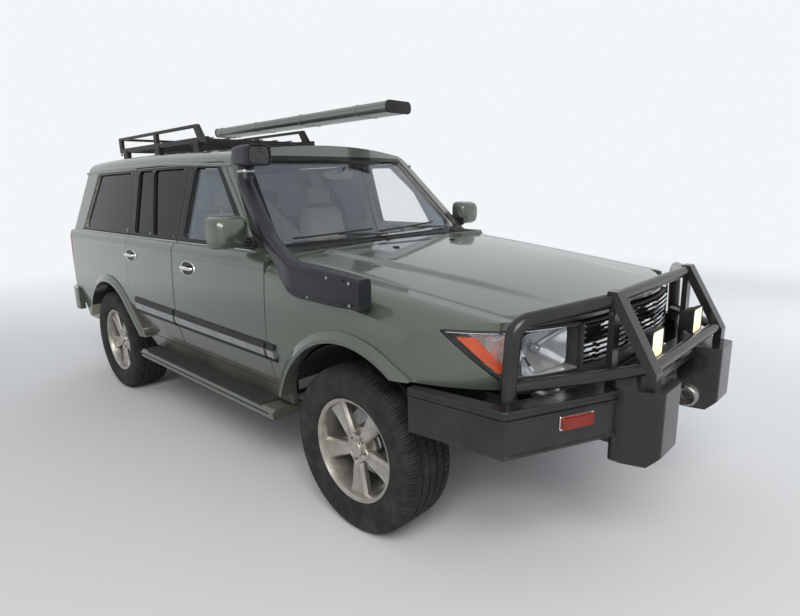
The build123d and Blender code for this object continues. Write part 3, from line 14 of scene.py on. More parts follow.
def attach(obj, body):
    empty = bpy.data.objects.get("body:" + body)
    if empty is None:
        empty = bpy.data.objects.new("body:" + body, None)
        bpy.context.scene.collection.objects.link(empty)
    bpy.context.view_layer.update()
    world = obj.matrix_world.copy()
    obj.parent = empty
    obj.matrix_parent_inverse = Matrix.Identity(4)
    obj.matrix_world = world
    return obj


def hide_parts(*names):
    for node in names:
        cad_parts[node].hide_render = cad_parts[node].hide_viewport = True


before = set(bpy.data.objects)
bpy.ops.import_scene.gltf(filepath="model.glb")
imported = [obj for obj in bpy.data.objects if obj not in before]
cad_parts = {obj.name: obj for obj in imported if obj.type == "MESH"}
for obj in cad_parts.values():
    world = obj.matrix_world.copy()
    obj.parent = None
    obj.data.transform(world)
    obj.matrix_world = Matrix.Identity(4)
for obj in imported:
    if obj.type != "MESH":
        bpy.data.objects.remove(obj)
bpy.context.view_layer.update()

AXLE_Y = -1.410                # front axle
WHEELBASE = 2.850
WHEEL_X = 0.810
AXLE_Z = 0.394
HANDS = (("left", 1), ("right", -1))


# Mesh building
def behind(t):
    """Y of a station t behind the front axle."""
    return AXLE_Y + np.asarray(t, float)


def points3(x, t, z):
    """Stacks x, station and height, broadcast together, into points."""
    x, t, z = np.broadcast_arrays(x, t, z)
    return np.stack([x, behind(t), z], -1).astype(float)


def unit(v):
    """Vectors scaled to length one."""
    return v / np.maximum(np.linalg.norm(v, axis=-1, keepdims=True), 1e-12)


def grid_faces(nu, nv, wrap_u=False, wrap_v=False):
    """Quads of an nu by nv grid of points, row after row, wrapped where it closes on itself."""
    u = np.arange(nu if wrap_u else nu - 1)[:, None]
    v = np.arange(nv if wrap_v else nv - 1)[None, :]
    u2, v2 = (u + 1) % nu, (v + 1) % nv
    return np.stack([u * nv + v, u2 * nv + v, u2 * nv + v2, u * nv + v2], -1).reshape(-1, 4)


def turned_over(faces):
    """The same faces seen from behind; a triangle is a quad whose last corner is repeated."""
    return faces[:, [1, 0, 3, 2]]


def facing_out(verts, faces):
    """Faces turned so that the volume they enclose, measured from their own middle, is positive."""
    p = verts[faces] - verts.mean(0)
    volume = (p[:, 0] * np.cross(p[:, 1], p[:, 2])).sum() + (p[:, 0] * np.cross(p[:, 2], p[:, 3])).sum()
    return faces if volume >= 0 else turned_over(faces)


def sheet(points, wrap_u=False, wrap_v=False):
    """One open or wrapped grid of points as vertices and quads."""
    return points.reshape(-1, 3), grid_faces(*points.shape[:2], wrap_u, wrap_v)


def slab(points, thickness, way):
    """Closed plate: the grid, a second grid moved by the thickness along a way, and a rim."""
    nu, nv = points.shape[:2]
    back = points + thickness * np.asarray(way, float)
    front_faces = grid_faces(nu, nv)
    rim = np.concatenate([
        np.arange(nv), np.arange(1, nu) * nv + nv - 1, (nu - 1) * nv + np.arange(nv - 2, -1, -1),
        np.arange(nu - 2, 0, -1) * nv])
    after = np.roll(rim, -1)
    half = nu * nv
    walls = np.stack([rim, after, after + half, rim + half], -1)
    faces = np.concatenate([front_faces, turned_over(front_faces) + half, turned_over(walls)])
    return np.concatenate([points.reshape(-1, 3), back.reshape(-1, 3)]), faces


def capped(rings):
    """Closed skin through rings of points (stations, round, 3), with a fan at each end."""
    n, k = rings.shape[:2]
    i = np.arange(k)
    j = (i + 1) % k
    first = np.stack([np.full(k, n * k), i, j, j], -1)
    last = np.stack([np.full(k, n * k + 1), (n - 1) * k + j, (n - 1) * k + i, (n - 1) * k + i], -1)
    verts = np.concatenate([rings.reshape(-1, 3), rings[:1].mean(1), rings[-1:].mean(1)])
    return verts, np.concatenate([grid_faces(n, k, wrap_v=True), first, last])


def carried(profile, path, up=(0, 0, 1), scale=None, closed=False):
    """A flat profile (k, 2) carried along a path (n, 3): its first axis is across, its second is up."""
    path = np.asarray(path, float)
    way = unit(np.roll(path, -1, 0) - np.roll(path, 1, 0)) if closed else unit(np.gradient(path, axis=0))
    across = unit(np.cross(way, np.asarray(up, float)))
    rise = np.cross(across, way)
    size = np.ones(len(path)) if scale is None else np.asarray(scale, float)
    profile = np.asarray(profile, float)
    rings = (path[:, None] + across[:, None] * (profile[:, 0] * size[:, None])[..., None]
             + rise[:, None] * (profile[:, 1] * size[:, None])[..., None])
    return sheet(rings, wrap_u=True, wrap_v=True) if closed else capped(rings)


def signed(value, power):
    """The value's size raised to a power, its sign kept."""
    return np.sign(value) * np.abs(value) ** power


def eased(value):
    """Soft step: 0 up to 0, 1 from 1 on, and three squares less two cubes between."""
    v = np.clip(value, 0, 1)
    return v * v * (3 - 2 * v)


def round_angles(k):
    """k even angles of a full turn."""
    return np.arange(k) * 2 * np.pi / k


def superellipse(k, wide, high, power):
    """Across and up of k points: half sizes times cosine and sine, each raised to two over the power."""
    a = round_angles(k)
    return signed(np.cos(a), 2 / power) * wide / 2, signed(np.sin(a), 2 / power) * high / 2


def blended(path, wide, high, power, up=(0, 0, 1), k=40):
    """Superellipse rings along a path, their width, height and power interpolated between its ends.

    Each of the three is a list of values at even shares of the path's length.
    """
    path = np.asarray(path, float)
    way = unit(np.gradient(path, axis=0))
    across = unit(np.cross(way, np.asarray(up, float)))
    rise = np.cross(across, way)
    run = np.concatenate([[0], np.cumsum(np.linalg.norm(np.diff(path, axis=0), axis=1))])
    run = run / run[-1]
    wide, high, power = [np.interp(run, np.linspace(0, 1, len(v)), v)[:, None] for v in (wide, high, power)]
    x, y = superellipse(k, wide, high, power)
    return capped(path[:, None] + x[..., None] * across[:, None] + y[..., None] * rise[:, None])


def round_profile(radius, k=20, flat=1.0):
    """Circle, or an ellipse where flat isn't 1."""
    a = round_angles(k)
    return np.stack([radius * np.cos(a), radius * flat * np.sin(a)], -1)


def rod(radius, path, k=8, flat=1.0, **more):
    """Round or flattened bar along a path."""
    return carried(round_profile(radius, k, flat), path, **more)


def box_profile(wide, high, corner, k=5):
    """Rectangle with rounded corners, counter-clockwise."""
    a = np.linspace(0, np.pi / 2, k)
    arcs = [np.stack([sx * (wide / 2 - corner) + corner * np.cos(a + turn),
                      sz * (high / 2 - corner) + corner * np.sin(a + turn)], -1)
            for turn, sx, sz in ((0, 1, 1), (np.pi / 2, -1, 1), (np.pi, -1, -1), (1.5 * np.pi, 1, -1))]
    return np.concatenate(arcs)


def bent(corners, radius, step=0.012):
    """Path of straight runs joined by arcs of a radius, as points about a step apart."""
    corners = np.asarray(corners, float)
    out = [corners[:1]]
    for before, corner, after in zip(corners[:-2], corners[1:-1], corners[2:]):
        a, b = unit(before - corner), unit(after - corner)
        half = math.acos(float(np.clip(a @ b, -1, 1))) / 2
        run = min(radius / math.tan(half), 0.49 * np.linalg.norm(before - corner),
                  0.49 * np.linalg.norm(after - corner))
        r = run * math.tan(half)
        centre = corner + unit(a + b) * (r / math.sin(half))
        sweep = np.pi - 2 * half
        n = max(4, int(sweep * r / step))
        e1 = unit(corner + a * run - centre)
        e2 = unit((corner + b * run - centre) - e1 * ((corner + b * run - centre) @ e1))
        w = np.linspace(0, sweep, n)[:, None]
        out.append(centre + r * (np.cos(w) * e1 + np.sin(w) * e2))
    out.append(corners[-1:])
    return np.concatenate(out)


def resample(path, n, closed=False):
    """n points evenly spaced along a polyline."""
    path = np.asarray(path, float)
    if closed:
        path = np.concatenate([path, path[:1]])
    s = np.concatenate([[0], np.cumsum(np.linalg.norm(np.diff(path, axis=0), axis=1))])
    at = np.linspace(0, s[-1], n + 1)[:-1] if closed else np.linspace(0, s[-1], n)
    return np.stack([np.interp(at, s, path[:, i]) for i in range(path.shape[1])], -1)


def turned(profile, centre, axis, k=96, closed=False):
    """Profile of (along, radius) turned about an axis through a centre."""
    axis = unit(np.asarray(axis, float))
    e1 = unit(np.cross(axis, (0.0, 0.31, 1.0)))
    e2 = np.cross(axis, e1)
    a = round_angles(k)
    spoke = np.cos(a)[:, None] * e1 + np.sin(a)[:, None] * e2
    profile = np.asarray(profile, float)
    rings = (np.asarray(centre, float) + profile[:, 0][:, None, None] * axis
             + profile[:, 1][:, None, None] * spoke[None])
    return sheet(rings, wrap_u=True, wrap_v=True) if closed else capped(rings)


def hex_head(radius, height, place, way):
    """Bolt head: a six-sided prism whose top edge is broken by 2 mm."""
    profile = [(0, radius), (height, radius), (height + 0.002, radius - 0.003), (height + 0.002, 0.0003)]
    return turned(profile, place, way, 6)


def brick(low, high, corner=0.004):
    """Box with rounded upright edges, from two corners given as (x, station, z)."""
    (x0, t0, z0), (x1, t1, z1) = low, high
    outline = box_profile(x1 - x0, t1 - t0, min(corner, (x1 - x0) / 2.01, (t1 - t0) / 2.01))
    x, t = outline[:, 0] + (x0 + x1) / 2, outline[:, 1] + (t0 + t1) / 2
    return capped(np.stack([points3(x, t, z) for z in (z0, z1)]))


def on_side(shape, side):
    """A left-hand shape, or its mirror image when the side is -1; it keeps its finish number."""
    return shape if side > 0 else (shape[0] * (-1, 1, 1), turned_over(shape[1]), *shape[2:])


def both(shapes):
    """Left-hand shapes and their mirror images."""
    return [on_side(shape, side) for hand, side in HANDS for shape in shapes]


def tagged(number, *shapes):
    """The shapes with the place of their finish in their piece's list."""
    return [(*shape, number) for shape in shapes]


def make(name, shapes, finish, body="root", slot=None, stands_for=(), angle=38, bevel=0.0):
    """Joins shapes into one object that rides on a body, smooth up to an angle, each shape facing out.

    A shape is (vertices, faces), or (vertices, faces, place of its finish in the list).
    """
    shapes = [(s[0], facing_out(s[0], s[1]), *s[2:]) for s in shapes]
    finishes = finish if isinstance(finish, (list, tuple)) else [finish]
    verts = np.concatenate([s[0] for s in shapes])
    starts = np.cumsum([0] + [len(s[0]) for s in shapes[:-1]])
    faces = np.concatenate([s[1] + n for s, n in zip(shapes, starts)])
    kinds = np.concatenate([np.full(len(s[1]), s[2] if len(s) > 2 else 0) for s in shapes])
    triangle = faces[:, 2] == faces[:, 3]
    mesh = bpy.data.meshes.new(name)
    mesh.vertices.add(len(verts))
    mesh.vertices.foreach_set("co", verts.astype(np.float32).ravel())
    sizes = np.where(triangle, 3, 4)
    keep = np.ones(faces.shape, bool)
    keep[triangle, 3] = False
    loops = faces[keep]
    mesh.loops.add(len(loops))
    mesh.loops.foreach_set("vertex_index", loops.astype(np.int32))
    mesh.polygons.add(len(faces))
    mesh.polygons.foreach_set("loop_start", np.concatenate([[0], np.cumsum(sizes)[:-1]]).astype(np.int32))
    mesh.polygons.foreach_set("material_index", kinds.astype(np.int32))
    mesh.polygons.foreach_set("use_smooth", np.ones(len(faces), bool))
    mesh.update(calc_edges=True)
    mesh.validate()
    mesh.set_sharp_from_angle(angle=math.radians(angle))
    for f in finishes:
        mesh.materials.append(f.material)
    piece = bpy.data.objects.new(name, mesh)
    bpy.context.scene.collection.objects.link(piece)
    if bevel:
        rounding = piece.modifiers.new("Rounding", "BEVEL")
        rounding.width = bevel
        rounding.segments = 2
        rounding.limit_method = "ANGLE"
        rounding.angle_limit = math.radians(40)
        rounding.harden_normals = True
    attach(piece, body)
    if stands_for:
        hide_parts(*stands_for)
    return piece


def pair(name, shapes, finish, body="root", slot=None, stands_for=(), **more):
    """Makes a left-hand piece and its mirror image; %s in a name stands for the side.

    A node without %s in its name is stood for by the left-hand piece alone.
    """
    for hand, side in HANDS:
        covered = [node.replace("%s", hand) for node in stands_for if side > 0 or "%s" in node]
        make(name.replace("%s", hand), [on_side(shape, side) for shape in shapes], finish,
             body.replace("%s", hand), slot, covered, **more)


# Shader building
class Wire:
    """A socket whose arithmetic adds Math nodes, so that a pattern reads as an expression."""

    def __init__(self, tree, socket):
        self.tree, self.socket = tree, socket

    def _maths(self, operation, *values):
        node = self.tree.nodes.new("ShaderNodeMath")
        node.operation = operation
        for slot, value in zip(node.inputs, values):
            if isinstance(value, Wire):
                self.tree.links.new(value.socket, slot)
            else:
                slot.default_value = value
        return Wire(self.tree, node.outputs[0])

    def __add__(self, other):
        return self._maths("ADD", self, other)

    def __radd__(self, other):
        return self._maths("ADD", other, self)

    def __sub__(self, other):
        return self._maths("SUBTRACT", self, other)

    def __rsub__(self, other):
        return self._maths("SUBTRACT", other, self)

    def __mul__(self, other):
        return self._maths("MULTIPLY", self, other)

    def __pow__(self, other):
        return self._maths("POWER", self, other)

    def above(self, edge):
        return self._maths("GREATER_THAN", self, edge)

    def below(self, edge):
        return self._maths("LESS_THAN", self, edge)

    def most(self, other):
        return self._maths("MAXIMUM", self, other)

    def least(self, other):
        return self._maths("MINIMUM", self, other)

    def size(self):
        return self._maths("ABSOLUTE", self)

    def wave(self):
        return self._maths("SINE", self)

    def smooth(self, low, high):
        """0 below low, 1 above high, with a soft step between."""
        node = self.tree.nodes.new("ShaderNodeMapRange")
        node.interpolation_type = "SMOOTHSTEP"
        self.tree.links.new(self.socket, node.inputs["Value"])
        node.inputs["From Min"].default_value = low
        node.inputs["From Max"].default_value = high
        return Wire(self.tree, node.outputs[0])


class Finish:
    """One material: its nodes, its patterns in Object coordinates, and its principled shader."""

    def __init__(self, name, **fixed):
        self.material = bpy.data.materials.new(name)
        self.material.use_nodes = True
        self.tree = self.material.node_tree
        self.shader = self.tree.nodes["Principled BSDF"]
        self.place = self.node("ShaderNodeTexCoord")["Object"]
        for socket, value in fixed.items():
            self.set(socket.replace("_", " "), value)

    def node(self, kind, **links):
        """Adds a node, links or sets its sockets, and returns its outputs by name."""
        node = self.tree.nodes.new(kind)
        for socket, value in links.items():
            self.join(node.inputs[socket.replace("_", " ")], value)
        return {o.name: Wire(self.tree, o) for o in node.outputs if o.enabled}

    def join(self, slot, value):
        if isinstance(value, Wire):
            self.tree.links.new(value.socket, slot)
        else:
            slot.default_value = (*value, 1) if slot.type == "RGBA" and len(value) == 3 else value

    def set(self, socket, value):
        self.join(self.shader.inputs[socket], value)

    def xyz(self):
        axes = self.node("ShaderNodeSeparateXYZ", Vector=self.place)
        return axes["X"], axes["Y"], axes["Z"]

    def noise(self, scale, detail=3.0, rough=0.5, stretch=(1, 1, 1)):
        where = self.node("ShaderNodeMapping", Vector=self.place, Scale=stretch)["Vector"]
        return self.node("ShaderNodeTexNoise", Vector=where, Scale=scale, Detail=detail,
                         Roughness=rough)["Fac"]

    def cells(self, scale):
        return self.node("ShaderNodeTexVoronoi", Vector=self.place, Scale=scale)["Distance"]

    def mix(self, share, a, b):
        """Colour a where the share is 0 and b where it is 1."""
        node = self.tree.nodes.new("ShaderNodeMix")
        node.data_type = "RGBA"
        self.join(node.inputs["Factor"], share)
        self.join(node.inputs[6], a)
        self.join(node.inputs[7], b)
        return Wire(self.tree, node.outputs[2])

    def bump(self, height, depth, strength=1.0):
        """Bump whose height of 1 stands depth metres proud."""
        self.set("Normal",
                 self.node("ShaderNodeBump", Height=height, Distance=depth, Strength=strength)["Normal"])


def worn(name, colour, dull, rough, spread=0.08, scale=9.0, grain=0.0, grain_scale=700.0, **fixed):
    """A plain moulded or coated finish: soft blotches of a duller colour, uneven gloss and a fine grain."""
    finish = Finish(name, **fixed)
    blotch = finish.noise(scale, 4.0, 0.6)
    finish.set("Base Color", finish.mix(blotch.smooth(0.35, 0.75), colour, dull))
    finish.set("Roughness", blotch * spread * 2 + (rough - spread))
    if grain:
        finish.bump(finish.noise(grain_scale, 2.0, 0.5), grain)
    return finish


# Paint: metallic flakes under a clear coat, dust that gathers low on the panels
SAGE = (0.098, 0.116, 0.092)
DUST = (0.165, 0.158, 0.130)
METAL_SHARE = 0.58


def paint_on(name):
    """Sage metallic clear-coated paint; height above the ground drives its dust."""
    finish = Finish(name, Coat_Roughness=0.035, Coat_IOR=1.45)
    x, y, z = finish.xyz()
    flake = finish.cells(1400.0)
    drift = finish.noise(2.6, 4.0, 0.55)
    low = 1 - z.smooth(0.45, 0.95)
    dust = (low * drift.smooth(0.30, 0.75) * 0.75).least(0.55)
    fleck = finish.mix(flake.smooth(0.1, 0.6), tuple(c * 0.86 for c in SAGE), tuple(c * 1.12 for c in SAGE))
    finish.set("Base Color", finish.mix(dust, fleck, DUST))
    finish.set("Roughness", 0.33 + dust * 0.25 + drift * 0.05)
    finish.set("Metallic", METAL_SHARE - dust * 0.35)
    finish.set("Coat Weight", 1 - dust * 0.8)
    return finish


paint = paint_on("sage_paint")


# Black finishes
bar_coat = worn("bar_powder_coat", (0.012, 0.012, 0.013), (0.022, 0.022, 0.024), 0.26, 0.05, 6.0, 0.00012,
                900.0, Coat_Weight=0.25, Coat_Roughness=0.10, Specular_IOR_Level=0.35)
black_plastic = worn("moulded_black", (0.014, 0.0145, 0.015), (0.026, 0.026, 0.027), 0.52, 0.07, 7.0, 0.00025,
                     1100.0, Specular_IOR_Level=0.32)
rubber_seal = worn("seal_rubber", (0.012, 0.012, 0.012), (0.022, 0.022, 0.022), 0.62, 0.06, 20.0, 0.0001)
black_gloss = worn("pillar_gloss_black", (0.010, 0.010, 0.011), (0.016, 0.016, 0.017), 0.16, 0.03, 5.0,
                   Specular_IOR_Level=0.16)
underbody = worn("underbody_black", (0.020, 0.019, 0.018), (0.055, 0.048, 0.040), 0.66, 0.12, 8.0, 0.0006,
                 120.0)
snorkel_skin = worn("snorkel_polyethylene", (0.012, 0.0135, 0.018), (0.020, 0.022, 0.027), 0.40, 0.06, 5.0,
                    0.0003, 650.0, Specular_IOR_Level=0.38)
rack_coat = worn("rack_coat", (0.014, 0.014, 0.015), (0.030, 0.030, 0.030), 0.42, 0.08, 12.0, 0.0002, 500.0,
                 Specular_IOR_Level=0.3)

# Bright finishes
chrome = worn("bright_chrome", (0.78, 0.79, 0.80), (0.62, 0.63, 0.64), 0.075, 0.035, 14.0, Metallic=1.0)
steel = worn("bright_steel", (0.42, 0.42, 0.43), (0.26, 0.25, 0.24), 0.32, 0.08, 25.0, 0.0002, 300.0,
             Metallic=1.0)
satin = worn("satin_strip", (0.40, 0.41, 0.41), (0.30, 0.31, 0.31), 0.34, 0.05, 9.0, 0.0001, 600.0,
             Metallic=0.85)
dark_steel = worn("exhaust_steel", (0.16, 0.14, 0.12), (0.09, 0.07, 0.055), 0.55, 0.1, 12.0, 0.0004, 200.0,
                  Metallic=0.9)

alloy = Finish("wheel_alloy", Metallic=0.82, Coat_Weight=0.35, Coat_Roughness=0.15)
brake_dust = alloy.noise(16.0, 4.0, 0.6)
alloy.set("Base Color", alloy.mix(brake_dust.smooth(0.35, 0.8), (0.47, 0.45, 0.41), (0.30, 0.275, 0.235)))
alloy.set("Roughness", 0.30 + brake_dust * 0.16)
alloy.bump(alloy.noise(900.0, 2.0), 0.00012)

case_metal = Finish("awning_anodised", Metallic=0.75)
case_tone = case_metal.noise(3.0, 4.0, 0.6, (1, 0.12, 1))
case_metal.set("Base Color", case_metal.mix(case_tone, (0.23, 0.255, 0.235), (0.31, 0.335, 0.31)))
case_metal.set("Roughness", 0.34 + case_tone * 0.12)
case_metal.bump(case_metal.noise(420.0, 2.0, 0.5, (1, 0.02, 1)), 0.00025)

# Tyre rubber, with a little dust in its noise
tyre_rubber = worn("tyre_rubber", (0.016, 0.016, 0.016), (0.045, 0.042, 0.038), 0.80, 0.08, 11.0, 0.0004,
                   380.0, Specular_IOR_Level=0.3)


def glance(finish):
    """Share mirrored by either side of a pane: the fifth power of one minus the cosine of the view."""
    return finish.node("ShaderNodeLayerWeight", Blend=0.5)["Facing"] ** 5.0


def glazing(name, tint, least, deep, **fixed):
    """Pane: lets light through head-on, mirrors more towards grazing, with faint smears."""
    finish = Finish(name, Base_Color=tint, Roughness=0.015, **fixed)
    smear = finish.noise(6.0, 3.0, 0.6)
    finish.set("Alpha", (least + glance(finish) * deep + smear * 0.02).least(1.0))
    return finish


clear_glass = glazing("screen_glass", (0.74, 0.84, 0.92), 0.075, 0.85, Metallic=1.0)
dark_glass = glazing("privacy_glass", (0.004, 0.005, 0.006), 0.84, 0.16, Specular_IOR_Level=0.22)
mirror_glass = worn("mirror_silver", (0.80, 0.82, 0.84), (0.74, 0.76, 0.78), 0.03, 0.01, 5.0, Metallic=1.0)


def lens(name, tint, least, pitch=0.0, lean=(1, 0, 0)):
    """Clear or coloured moulding, fluted at a pitch along one direction."""
    finish = Finish(name, Base_Color=tint, Roughness=0.06, Coat_Weight=1.0, Coat_Roughness=0.02)
    finish.set("Alpha", (least + 0.03 + glance(finish) * 0.7).least(1.0))
    if pitch:
        x, y, z = finish.xyz()
        finish.bump(((x * lean[0] + y * lean[1] + z * lean[2]) * (math.pi * 2 / pitch)).wave(), 0.0006)
    return finish


lamp_lens = lens("lamp_lens", (0.30, 0.33, 0.35), 0.02)
fluted_lens = lens("fluted_lens", (0.62, 0.64, 0.66), 0.12, 0.011, (0.8, 0.6, 0))
reflector = worn("lamp_reflector", (0.86, 0.88, 0.90), (0.72, 0.74, 0.76), 0.16, 0.04, 30.0, Metallic=0.72)


def cell_lens(name, colour, deep, scale=230.0, glow=0.0):
    """Coloured reflex moulding: a field of small prisms under a gloss skin."""
    finish = Finish(name, Coat_Weight=0.30, Coat_Roughness=0.04, Roughness=0.24, Specular_IOR_Level=0.3)
    prism = finish.cells(scale)
    finish.set("Base Color", finish.mix(prism.smooth(0.1, 0.7), colour, deep))
    finish.bump(prism, 0.0012)
    if glow:
        finish.set("Emission Color", colour)
        finish.set("Emission Strength", glow)
    return finish


amber_lens = cell_lens("amber_lens", (0.80, 0.115, 0.004), (0.42, 0.026, 0.001), 190.0, 0.16)
red_lens = cell_lens("red_lens", (0.52, 0.012, 0.012), (0.22, 0.004, 0.006), 210.0, 0.05)
marker_lens = cell_lens("marker_lens", (0.40, 0.034, 0.008), (0.17, 0.010, 0.003), 240.0)
white_lens = cell_lens("white_lens", (0.80, 0.80, 0.80), (0.55, 0.56, 0.57), 210.0)
lit_lens = Finish("lit_lens", Base_Color=(0.8, 0.7, 0.5), Roughness=0.3, Emission_Strength=1.0)
lit_cells = lit_lens.cells(120.0)
lit_lens.set("Emission Color", lit_lens.mix(lit_cells.smooth(0.0, 0.8), (1.0, 0.74, 0.34), (1.0, 0.90, 0.66)))

# Cabin finishes
trim = worn("cabin_trim", (0.30, 0.275, 0.235), (0.24, 0.22, 0.19), 0.62, 0.06, 6.0, 0.0004, 900.0)
dark_trim = worn("cabin_trim_dark", (0.050, 0.047, 0.043), (0.075, 0.070, 0.064), 0.55, 0.06, 6.0, 0.0003,
                 900.0)
headliner = worn("headliner", (0.46, 0.44, 0.40), (0.40, 0.385, 0.35), 0.90, 0.04, 9.0, 0.00015, 420.0)

seat_cloth = Finish("seat_cloth", Sheen_Weight=0.35, Sheen_Roughness=0.5)
cx, cy, cz = seat_cloth.xyz()
weave = ((cx * 1650.0).wave() * ((cy + cz) * 1650.0).wave())
fade = seat_cloth.noise(7.0, 4.0, 0.6)
seat_cloth.set("Base Color", seat_cloth.mix(fade, (0.31, 0.285, 0.245), (0.235, 0.215, 0.185)))
seat_cloth.set("Roughness", 0.84 + fade * 0.1)
seat_cloth.bump(weave * 0.5 + fade * 1.5, 0.0004)

engine_cast = worn("engine_casting", (0.13, 0.13, 0.135), (0.07, 0.07, 0.07), 0.6, 0.1, 10.0, 0.0012, 160.0,
                   Metallic=0.6)
mesh_black = worn("mesh_black", (0.010, 0.010, 0.010), (0.020, 0.020, 0.020), 0.5, 0.05, 20.0, 0.0001)

tread_pad = Finish("step_tread", Roughness=0.7)
tread_tone = tread_pad.noise(9.0, 4.0, 0.6)
tread_pad.set("Base Color", tread_pad.mix(tread_tone, (0.014, 0.014, 0.014), (0.040, 0.038, 0.035)))
tread_pad.bump(tread_pad.noise(500.0), 0.0004)


LINING = (0.30, 0.275, 0.235)
HEADLINING = (0.42, 0.40, 0.36)
CARPET = (0.085, 0.076, 0.066)
EDGE_BLACK = (0.014, 0.014, 0.014)
BELT_FOOT = 1.262               # under it no door frame is black
FRONT_ARCH, REAR_ARCH, REAR_ARCH_T = 0.50, 0.4835, WHEELBASE - 0.025


def lined(name, mask):
    """Painted panel with a lining inside and black edges; mask gives both shares from place and normal."""
    finish = paint_on(name)
    x, y, z = finish.xyz()
    turn = finish.node("ShaderNodeNewGeometry")["Normal"]
    axes = finish.node("ShaderNodeSeparateXYZ", Vector=turn)
    inside, black, floor = mask(x, y, z, axes["X"], axes["Y"], axes["Z"])
    held = {s: Wire(finish.tree, finish.shader.inputs[s].links[0].from_socket)
            for s in ("Base Color", "Coat Weight", "Metallic", "Roughness")}
    lining = finish.mix(floor, finish.mix(z.above(1.20), LINING, HEADLINING), CARPET)
    colour = finish.mix(inside, held["Base Color"], lining)
    finish.set("Base Color", finish.mix(black, colour, EDGE_BLACK))
    soft = inside.most(black)
    finish.set("Coat Weight", held["Coat Weight"] * (1 - soft))
    finish.set("Metallic", held["Metallic"] * (1 - soft))
    finish.set("Roughness", held["Roughness"] * (1 - soft) + soft * 0.72)
    finish.bump(finish.noise(420.0, 2.0) * soft, 0.00015)
    return finish


def shell_mask(x, y, z, nx, ny, nz):
    """Inside where the normal looks at the cabin; black in the arches, window openings and below."""
    out = nx * x + nz * (z - 1.20) * 1.3 + ny * (y - 0.75) * 0.45
    inside = out.below(-0.02)
    floor = nz.above(0.6) * z.below(1.1) * inside
    front_arch, rear_arch = [((y - (AXLE_Y + t)) ** 2.0 + (z - AXLE_Z) ** 2.0).below(radius ** 2)
                             for t, radius in ((0, FRONT_ARCH), (REAR_ARCH_T, REAR_ARCH))]
    under = nz.below(-0.5) * z.below(0.75)
    edge = out.size().below(0.45) * z.above(1.20) * nz.size().below(0.55) * z.below(1.76)
    outer_skin = nx.size().above(0.85) * x.size().above(0.86)
    return inside, edge.most(front_arch.most(rear_arch).most(under) * (1 - outer_skin)), floor


def door_mask(x, y, z, nx, ny, nz):
    """Inside where the normal looks inwards across the cabin; black round the window frame."""
    out = nx * x
    return out.below(-0.25), out.size().below(0.25) * z.above(BELT_FOOT), z.below(0)


def gate_mask(x, y, z, nx, ny, nz):
    """Inside where the normal looks forward; black round the glass."""
    return ny.below(-0.35), ny.size().below(0.35) * z.above(BELT_FOOT), z.below(0)


def floor_mask(x, y, z, nx, ny, nz):
    """Carpet on every upper side of the pan."""
    return nz.above(0.3), nz.below(0.3), nz.above(0.3)


shell_skin = lined("shell_paint_and_trim", shell_mask)
door_skin = lined("door_paint_and_trim", door_mask)
gate_skin = lined("gate_paint_and_trim", gate_mask)
pan_skin = lined("pan_carpet_and_underseal", floor_mask)


# Finishes of the frame's own nodes
NODE_FINISHES = (
    (shell_skin, "body_shell"), (pan_skin, "floor_pan"),
    (door_skin, "door_front_left door_front_right door_rear_left door_rear_right"),
    (gate_skin, "upper_hatch lower_tailgate"),
    (paint, "nose_panel hood wing_left wing_right mirror_left mirror_right rear_bumper running_boards"),
    (underbody, "chassis_frame radiator driveline front_suspension rear_axle tow_receiver fuel_tank"),
    (dark_steel, "knuckle_left knuckle_right exhaust winch"),
    (bar_coat, "front_bar"), (rack_coat, "roof_rack"), (snorkel_skin, "snorkel"), (case_metal, "awning_case"),
    (clear_glass, "windscreen glass_front_left glass_front_right"),
    (dark_glass, "glass_rear_left glass_rear_right quarter_glass hatch_glass"),
    (lamp_lens, "headlamps"), (black_plastic, "driving_lights"), (red_lens, "tail_lamps"),
    (marker_lens, "marker_lamps"), (chrome, "grille"), (engine_cast, "engine"),
    (seat_cloth, "front_seats rear_seat"), (trim, "dashboard"), (dark_trim, "steering_wheel"),
    (tyre_rubber, "tyre_front_left tyre_front_right tyre_rear_left tyre_rear_right spare_wheel"),
    (alloy, "wheel_front_left wheel_front_right wheel_rear_left wheel_rear_right"))
for finish, names in NODE_FINISHES:
    for node in names.split():
        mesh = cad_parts[node].data
        mesh.materials.clear()
        mesh.materials.append(finish.material)


# The body's own surfaces, in closed form from its section tables (metres, stations behind the front axle)
NOSE_ROWS = np.array([(-0.920, 0.985, 0.940, 0.730, 1.052, 1.078), (-0.250, 1.0, 1.035, 0.780, 1.130, 1.165),
                      (0.640, 1.0, 1.150, 0.850, 1.222, 1.246)])
TUB_ROWS = np.array([(0.560, 1.0, 1.165, 0.897, 1.238, 1.250), (2.400, 1.0, 1.165, 0.902, 1.240, 1.250),
                     (3.960, 0.985, 1.160, 0.880, 1.240, 1.250)])
CABIN_ROWS = np.array([(0.400, 0.884, 0.735, 1.700, 0.640, 1.800), (1.900, 0.892, 0.738, 1.742, 0.645, 1.854),
                       (3.000, 0.890, 0.735, 1.744, 0.640, 1.868),
                       (4.000, 0.860, 0.712, 1.722, 0.615, 1.834)])


def section(rows, t):
    """Section values at stations t: the curve of least degree through each column."""
    t = np.asarray(t, float)
    return [np.polyval(np.polyfit(rows[:, 0], column, len(rows) - 1), t) for column in rows[:, 1:].T]


